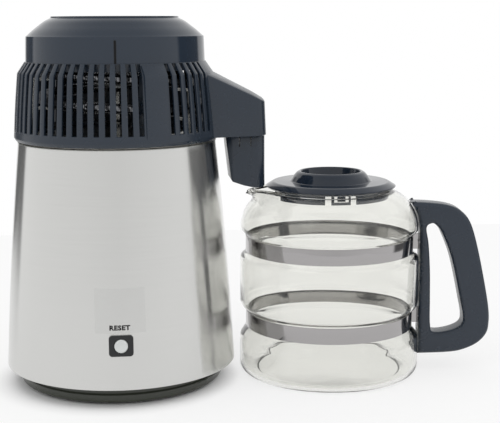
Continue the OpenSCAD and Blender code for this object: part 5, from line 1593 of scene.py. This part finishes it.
@dataclass
class GlassCarafe:
    """Blown jug with a pouring lip, two bands and a loop handle."""

    centre: Point2 = (213.5, -4.7)
    turn: float = -6.0
    jar_r: float = 92.0
    jar_h: float = 190.0
    glass: float = 1.6
    floor: float = 3.2
    neck_r: float = 63.5
    neck_in: float = 61.9
    shoulder_z: float = 150.0
    groove_r: float = 85.0
    low_band_z: float = 56.5
    high_band_z: float = 134.0
    band_w: float = 16.0
    lip_reach: float = 84.4
    lip_fall: float = 2.2
    handle_w: float = 24.0
    handle_edge: float = 4.2
    lip_tip_r: float = 7.0
    # Where the lip starts under the rim, the height over which it grows, and how far outward it is felt
    lip_start: float = 13.0
    lip_growth: float = 12.5
    lip_blend: float = 18.0
    lip_full: float = 21.0
    strip_r: Point2 = (85.2, 85.8)
    ear_r: float = 97.6
    ear_y: Point2 = (0.6, 1.6)
    # The handle's outline and opening: distance from the jar's side, and height
    outer_points: Outline = (
        (-9.6, 176.0), (9.0, 175.2), (28.6, 172.6), (41.0, 167.0), (51.0, 155.0), (58.6, 131.7), (66.8, 95.2),
        (72.2, 66.0), (73.0, 50.0), (70.6, 38.2), (61.2, 27.8), (46.0, 20.8), (30.0, 18.2), (-0.3, 17.2),
    )
    opening_points: Outline = (
        (12.1, 153.6), (6.8, 149.0), (9.3, 132.0), (11.2, 105.0), (11.9, 74.4), (12.5, 48.0), (15.7, 40.2),
        (31.0, 41.4), (43.6, 47.0), (46.0, 55.8), (42.6, 74.3), (33.2, 116.2), (22.8, 143.3), (16.8, 151.5),
    )

    def place(self) -> Matrix:
        """The carafe's own frame: +X toward the handle."""
        return Matrix.Translation((*self.centre, 0)) @ Matrix.Rotation(math.radians(self.turn), 4, "Z")

    def shoulder(self) -> tuple[Point2, float, float]:
        """Fits the shoulder's arc between the jar's side and the neck.

        Returns:
            Its centre, radius and end angle in degrees.
        """
        drop = self.jar_r - 1.4 - self.neck_r - 0.5
        rise = self.jar_h - 2 - self.shoulder_z
        r = (drop**2 + rise**2) / (2 * drop)
        return (self.jar_r - 1.4 - r, self.shoulder_z), r, math.degrees(math.acos((r - drop) / r))

    def build(self) -> None:
        """Makes glass, bands, handle and fasteners."""
        self.build_glass()
        self.build_bands()
        self.build_handle()
        dress_nodes(PLATED_STEEL, "band_screws", "band_nuts")

    def glass_profile(self) -> list[Point2]:
        """Draws the closed outline of the glass wall, outside up and inside down.

        Returns:
            The outline.
        """
        centre, r, end = self.shoulder()
        neck_r, neck_in, h = self.neck_r, self.neck_in, self.jar_h
        jr, gr, low, high = self.jar_r, self.groove_r, self.low_band_z, self.high_band_z
        side, groove = jr - 0.4, gr + 0.6
        body = [(jr, 9.5), (jr, low - 19), (groove, low - 9.8), (gr, low - 6), (gr, low + 6),
                (groove, low + 9.8), (side, low + 14.5), (side, low + 22), (side, high - 20),
                (side, high - 13.8), (groove, high - 9.4), (gr, high - 6), (gr, high + 6), (groove, high + 9.6)]
        outer = rounded(body, 3.2, 4, range(1, len(body) - 1))
        foot = [(0.0, 0.9), (jr - 20, 0.9)] + arc((jr - 17.5, 2.0), 2.0, 210, 270, 3)
        foot += arc((jr - 9, 9), 9, -90, 0, 10)
        crown = arc(centre, r, -2.0, end, 18)
        rim = [(neck_r, h - 0.5), (neck_r - 0.15, h - 0.15), (neck_r - 0.5, h), (neck_in + 0.5, h),
               (neck_in + 0.15, h - 0.15), (neck_in, h - 0.5)]
        inner_end = math.degrees(math.acos((neck_in - centre[0]) / (r - self.glass)))
        inside = arc(centre, r - self.glass, inner_end, -2.0, 18)
        gi, ji, groove = gr - self.glass, jr - 3.0, gr - self.glass + 0.5
        walls = [(groove, high + 10.4), (gi, high + 6), (gi, high - 6), (groove, high - 10.4),
                 (ji, high - 14.6), (ji, low + 15.2), (groove, low + 10.8), (gi, low + 6), (gi, low - 6),
                 (groove, low - 10.8), (ji, low - 20), (ji, 11.0)]
        inner = rounded(walls, 3.2, 4, range(1, len(walls) - 1))
        heel = arc((jr - 9.4, self.floor + 6.4), 6.4, 0, -90, 8)
        return foot + outer + crown + rim + inside + inner + heel + [(0.0, self.floor)]

    def lip(self, azimuth: float) -> float:
        """Reckons how far the lip's plan stands past the neck.

        Args:
            azimuth: Angle from the lip's middle, in radians.

        Returns:
            The distance.
        """
        tip_r = self.lip_tip_r
        reach = self.lip_reach - tip_r
        tangent = math.acos((self.neck_r - tip_r) / reach)
        off = abs(azimuth)
        if off >= tangent:
            return 0.0
        line = self.neck_r / math.cos(tangent - off)
        across = reach * math.sin(off)
        tip = reach * math.cos(off) + math.sqrt(tip_r**2 - across**2) if across < tip_r else 1e9
        return min(line, tip) - self.neck_r

    def build_glass(self) -> None:
        """Turns the glass and draws the lip out of its neck."""
        points, faces = lathe(self.glass_profile(), steps=288)
        for i, (x, y, z) in enumerate(points):
            r = math.hypot(x, y)
            rise = min(max((z - (self.jar_h - self.lip_start)) / self.lip_growth, 0), 1)
            if rise <= 0 or r < self.neck_in - 0.5 or r > self.neck_r + self.lip_blend:
                continue
            azimuth = math.atan2(y, -x)
            out = self.lip(azimuth) * rise * rise * (3 - 2 * rise)
            outside = r > self.neck_r + 0.01
            near = max(0.0, (self.neck_r + self.lip_blend - r) / self.lip_blend) if outside else 1.0
            out *= min(1.0, near * 1.6)
            points[i] = (x * (r + out) / r, y * (r + out) / r, z - self.lip_fall * (out / self.lip_full) ** 2)
        jug = moved((points, faces), self.place())
        add_piece("carafe_jug", jug, CARAFE_GLASS, "carafe", ["carafe_glass"], 60)

    def build_bands(self) -> None:
        """Bends the two strips round their grooves, with ears that run into the handle."""
        gap, (inside, outside), ear, w = 1.0, self.strip_r, self.ear_r, self.band_w / 2
        for name, node, z in (
            ("lower_strip", "lower_band", self.low_band_z), ("upper_strip", "upper_band", self.high_band_z),
        ):
            strip = rounded([(inside, z - w), (outside, z - w), (outside, z + w), (inside, z + w)], 0.22, 3)
            lug = rounded([(inside, z - w), (ear, z - w), (ear, z + w), (inside, z + w)], 0.8, 3, [1, 2])
            ring = lathe(strip, steps=200, start=90 + gap, sweep=360 - 2 * gap)
            ears = [skin([np.array([(u, s * y, v) for u, v in lug]) for y in self.ear_y]) for s in (-1, 1)]
            add_piece(name, moved(merged(ring, *ears), self.place()), BAND_STEEL, "carafe", [node], 40)

    def build_handle(self) -> None:
        """Makes the loop handle with round edges from its outline and opening."""
        centre, r, _ = self.shoulder()
        touch = r + 0.7
        top_angle = math.degrees(math.acos((self.jar_r - 9.4 - centre[0]) / touch))
        outer = [(u + self.jar_r, v) for u, v in smooth_line(self.outer_points, 6)]
        inner = [(self.jar_r + 0.3, self.shoulder_z - 8)] + arc(centre, touch, 5, top_angle, 10)
        opening = [(u + self.jar_r, v) for u, v in smooth_line(self.opening_points, 6, True)]
        edge = self.handle_edge
        curve = bpy.data.curves.new("grip", "CURVE")
        curve.dimensions = "2D"
        curve.fill_mode = "BOTH"
        curve.extrude = (self.handle_w / 2 - edge) * MM
        curve.bevel_depth = edge * MM
        curve.bevel_resolution = 5
        curve.offset = -edge * MM
        for loop in (outer + inner, opening):
            spline = curve.splines.new("POLY")
            spline.points.add(len(loop) - 1)
            for point, (u, v) in zip(spline.points, loop):
                point.co = (u * MM, v * MM, 0, 1)
            spline.use_cyclic_u = True
        mesh = baked(new_object("grip", curve))
        place = self.place()
        place.translation *= MM
        mesh.transform(place @ Matrix.Rotation(math.pi / 2, 4, "X"))
        add_piece("loop_grip", cleaned(mesh, 2e-6), SATIN_ABS, "carafe", ["carafe_handle"], 35)


@dataclass
class CarafeLid:
    """Turned lid with a raised ring, a sunk bowl and a clip skirt."""

    centre: Point2 = (214.7, -4.7)
    seat_z: float = 190.3
    rim_r: float = 66.2
    bevel_h: float = 5.5
    crown_r: float = 40.0
    crown_h: float = 10.3
    wall: float = 2.2
    hole_r: float = 6.0
    skirt_r: float = 58.6
    skirt_low_z: float = 180.2
    # First and last azimuth of the skirt's long walls, then of the snap window's bars with their heights
    walls: Outline = ((-67.8, -15.4), (15.8, 247.8))
    bars: tuple[tuple[float, float, float, float], ...] = (
        (-9.5, -6.7, 182.7, 189.3), (7.8, 9.3, 182.7, 189.3), (-3.6, 4.1, 183.6, 189.3),
    )

    def skirt(self, start: float, end: float, low: float, high: float) -> Shape:
        """Makes a stretch of the skirt.

        Args:
            start: First azimuth in degrees.
            end: Last azimuth in degrees.
            low: Height of its lower edge.
            high: Height of its upper edge.

        Returns:
            The stretch.
        """
        out, inside = self.skirt_r, self.skirt_r - self.wall
        outline = rounded([(inside, low), (out, low), (out, high), (inside, high)], 0.35, 2)
        steps = max(int((end - start) / 2.5), 2)
        return lathe(outline, self.centre, steps, start, end - start)

    def build(self) -> None:
        """Turns the lid and sets the skirt's stretches under it."""
        seat, low, w = self.seat_z, self.skirt_low_z, self.wall
        top = seat + 1.2 + self.bevel_h
        peak, bowl_z, joint = top + self.crown_h, seat + 2.5, seat + 0.3
        rim, crown, hole, inside = self.rim_r, self.crown_r, self.hole_r, self.skirt_r - w
        outline = [
            (inside, seat), (rim - 2.6, seat), (rim, seat + 2.2), (rim - 6.5, top - 0.5), (rim - 8.0, top),
            (crown + 1.0, top), (crown - 0.2, top + 2.0), (37.7, top + 5.4), (34.6, peak - 1.4), (31.9, peak),
            (30.2, peak - 0.5), (28.4, bowl_z + w + 1.2), (26.0, bowl_z + w), (hole + 0.6, bowl_z + w),
            (hole, bowl_z + w - 0.6), (hole, bowl_z), (29.0, bowl_z), (30.2, bowl_z + 1.0),
            (31.2, peak - 3.0), (36.6, top - w), (inside, top - w),
        ]
        profile = rounded(outline, 1.0, 5, range(1, 14))
        shape = merged(
            lathe(profile, self.centre, 200),
            *(self.skirt(start, end, low, joint) for start, end in self.walls),
            self.skirt(-15.6, 16.0, 189.2, joint), self.skirt(-9.5, 9.3, low, 182.8),
            *(self.skirt(*bar) for bar in self.bars),
        )
        add_piece("lid_turned", shape, GLOSS_ABS, "lid", ["carafe_lid", "lid_crown", "lid_skirt"], 42)


# Studio


@dataclass
class Studio:
    """Pale floor, white surround and the camera at the photograph's place."""

    eye: Point3 = (10.3, -1133.6, 355.9)
    pitch: float = 9.46
    yaw: float = 6.15
    roll: float = -0.22
    lens: float = 81.62
    sensor: float = 36.0
    aim: Point3 = (60.0, 0.0, 150.0)
    plain: float = 0.9
    overhead: float = 0.7
    # Azimuth in degrees and brightness in reflections: white with two dark cards, and above the cards
    low: Outline = (
        (-180, 1.0), (-160, 1.0), (-155, 0.15), (-130, 0.15), (-125, 1.0), (0, 0.85), (85, 1.0), (90, 0.15),
        (130, 0.15), (135, 1.0), (180, 1.0),
    )
    high: Outline = ((-180, 1.0), (0, 0.9), (180, 1.0))
    # Rise of the view at which the cards end and the ceiling begins
    card_top: Point2 = (0.2, 0.36)
    ceiling: Point2 = (0.7, 0.95)
    floor_box: tuple[float, float, float, float] = (-760.0, -900.0, 960.0, 800.0)
    floor_z: float = -0.15
    # Middle and radius round which the floor's painted glow fades out, with the width of the fade, so the
    # boiler's shade stays
    contact: Point3 = (-6.0, -6.0, 112.0)
    contact_edge: float = 14.0
    floor_share: float = 0.7

    def build(self) -> None:
        """Makes the camera, world, floor and lamps."""
        self.build_camera()
        self.build_world()
        self.build_floor()
        self.build_lamp("key_softbox", (-900, -900, 1500), 1200, 5.0)
        self.build_lamp("fill_softbox", (1100, -700, 1100), 900, 2.5)
        bpy.context.scene.view_settings.view_transform = "Standard"

    def build_camera(self) -> None:
        """Places the camera."""
        data = bpy.data.cameras.new("camera")
        data.sensor_width = self.sensor
        data.lens = self.lens
        data.clip_start, data.clip_end = 0.05, 50.0
        camera = new_object("camera", data)
        camera.matrix_world = (
            Matrix.Translation(Vector(self.eye) * MM)
            @ Matrix.Rotation(math.radians(-self.yaw), 4, "Z")
            @ Matrix.Rotation(math.radians(90 - self.pitch), 4, "X")
            @ Matrix.Rotation(math.radians(self.roll), 4, "Z")
        )
        bpy.context.scene.camera = camera

    def build_world(self) -> None:
        """Paints the surround: white for the eye and through glass, with two dark cards in reflections."""
        world = bpy.data.worlds.new("surround")
        bpy.context.scene.world = world
        world.use_nodes = True
        world.node_tree.nodes.clear()
        graph = Graph(world.node_tree)
        way = graph.add("ShaderNodeTexCoord").outputs["Generated"]
        axes = graph.add("ShaderNodeSeparateXYZ", {0: way}).outputs
        angle = graph.math("ARCTAN2", axes["X"], graph.math("MULTIPLY", axes["Y"], -1.0))
        share = graph.span(angle, -math.pi, math.pi)
        low, high = (self.ring_of_panels(graph, share, levels) for levels in (self.low, self.high))
        sides = graph.mix(graph.span(axes["Z"], *self.card_top), low, high)
        dome = graph.mix(graph.span(axes["Z"], *self.ceiling), sides, self.overhead)
        rays = graph.add("ShaderNodeLightPath").outputs
        mirrored = graph.mix(rays["Is Glossy Ray"], self.plain, dome)
        direct = graph.math("MAXIMUM", rays["Is Camera Ray"], rays["Is Transmission Ray"])
        seen = graph.mix(direct, mirrored, 1.0)
        sky = graph.get("ShaderNodeBackground", {"Color": (1, 1, 1, 1), "Strength": seen})
        graph.add("ShaderNodeOutputWorld", {"Surface": sky})

    def ring_of_panels(self, graph: Graph, share: Socket, levels: Outline) -> Socket:
        """Paints brightness over azimuth.

        Args:
            graph: The world's graph.
            share: Azimuth from 0 to 1.
            levels: Azimuth in degrees and brightness, in order.

        Returns:
            Brightness, at most 1.
        """
        ramp = graph.add("ShaderNodeValToRGB", {0: share})
        stops = ramp.color_ramp.elements
        while len(stops) > 1:
            stops.remove(stops[-1])
        for i, (azimuth, level) in enumerate(levels):
            at = (azimuth + 180) / 360
            stop = stops[0] if i == 0 else stops.new(at)
            stop.position = at
            stop.color = (level,) * 3 + (1.0,)
        return ramp.outputs[0]

    def build_floor(self) -> None:
        """Lays the pale floor, which glows white as painted light where it is seen; the glow fades out round
        the boiler's foot so the shade there stays.
        """
        x0, y0, x1, y1 = self.floor_box
        corners = [(x, y, self.floor_z) for x, y in ((x0, y0), (x1, y0), (x1, y1), (x0, y1))]
        mesh = bpy.data.meshes.new("floor")
        mesh.from_pydata([tuple(c * MM for c in p) for p in corners], [], [(0, 1, 2, 3)])
        paint = bpy.data.materials.new("paper_matt_white")
        paint.use_nodes = True
        paint.node_tree.nodes.clear()
        graph = Graph(paint.node_tree)
        rays = graph.add("ShaderNodeLightPath").outputs
        direct = graph.math("MAXIMUM", rays["Is Camera Ray"], rays["Is Transmission Ray"])
        white = graph.math("MAXIMUM", direct, rays["Is Glossy Ray"])
        x, y, radius = self.contact
        middle = (x * MM, y * MM, self.floor_z * MM)
        place = graph.add("ShaderNodeTexCoord").outputs["Object"]
        reach = graph.add("ShaderNodeVectorMath", {"operation": "DISTANCE", 0: place, 1: middle})
        near, far = (radius - self.contact_edge) * MM, (radius + self.contact_edge) * MM
        # Painted light: the floor's glow, faded to none round the boiler's foot
        clear = graph.span(reach.outputs["Value"], near, far, (0.0, self.floor_share))
        mix = graph.get("ShaderNodeMixShader", {
            0: graph.math("MULTIPLY", white, clear),
            1: graph.get("ShaderNodeBsdfDiffuse", {"Color": linear("#F2F2F2")}),
            2: graph.get("ShaderNodeEmission", {"Strength": 1.0}),
        })
        graph.add("ShaderNodeOutputMaterial", {"Surface": mix})
        mesh.materials.append(paint)
        floor = new_object("floor", mesh)

    def build_lamp(self, name: str, at: Point3, size: float, power: float) -> None:
        """Hangs a soft square lamp that faces the object.

        Args:
            name: The lamp's name.
            at: Its place in millimetres.
            size: Its side in millimetres.
            power: Its power in watts.
        """
        data = bpy.data.lights.new(name, "AREA")
        data.shape = "SQUARE"
        data.size = size * MM
        data.energy = power
        lamp = new_object(name, data)
        spot = Vector(at) * MM
        turn = (Vector(self.aim) * MM - spot).to_track_quat("-Z", "Y")
        lamp.matrix_world = Matrix.Translation(spot) @ turn.to_matrix().to_4x4()
        lamp.visible_glossy = False


def main() -> None:
    """Builds every sub-assembly in order."""
    logging.basicConfig(level=logging.INFO, format="%(message)s")
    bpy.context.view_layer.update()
    boiler = BoilerBody()
    for part in (
        Studio(), boiler, ResetControl(boiler), RearConnections(), LouverRing(), SpoutArm(), FanHead(),
        DripNozzle(), GlassCarafe(), CarafeLid(),
    ):
        LOG.info("building %s", type(part).__name__)
        part.build()


if __name__ == "__main__":
    main()
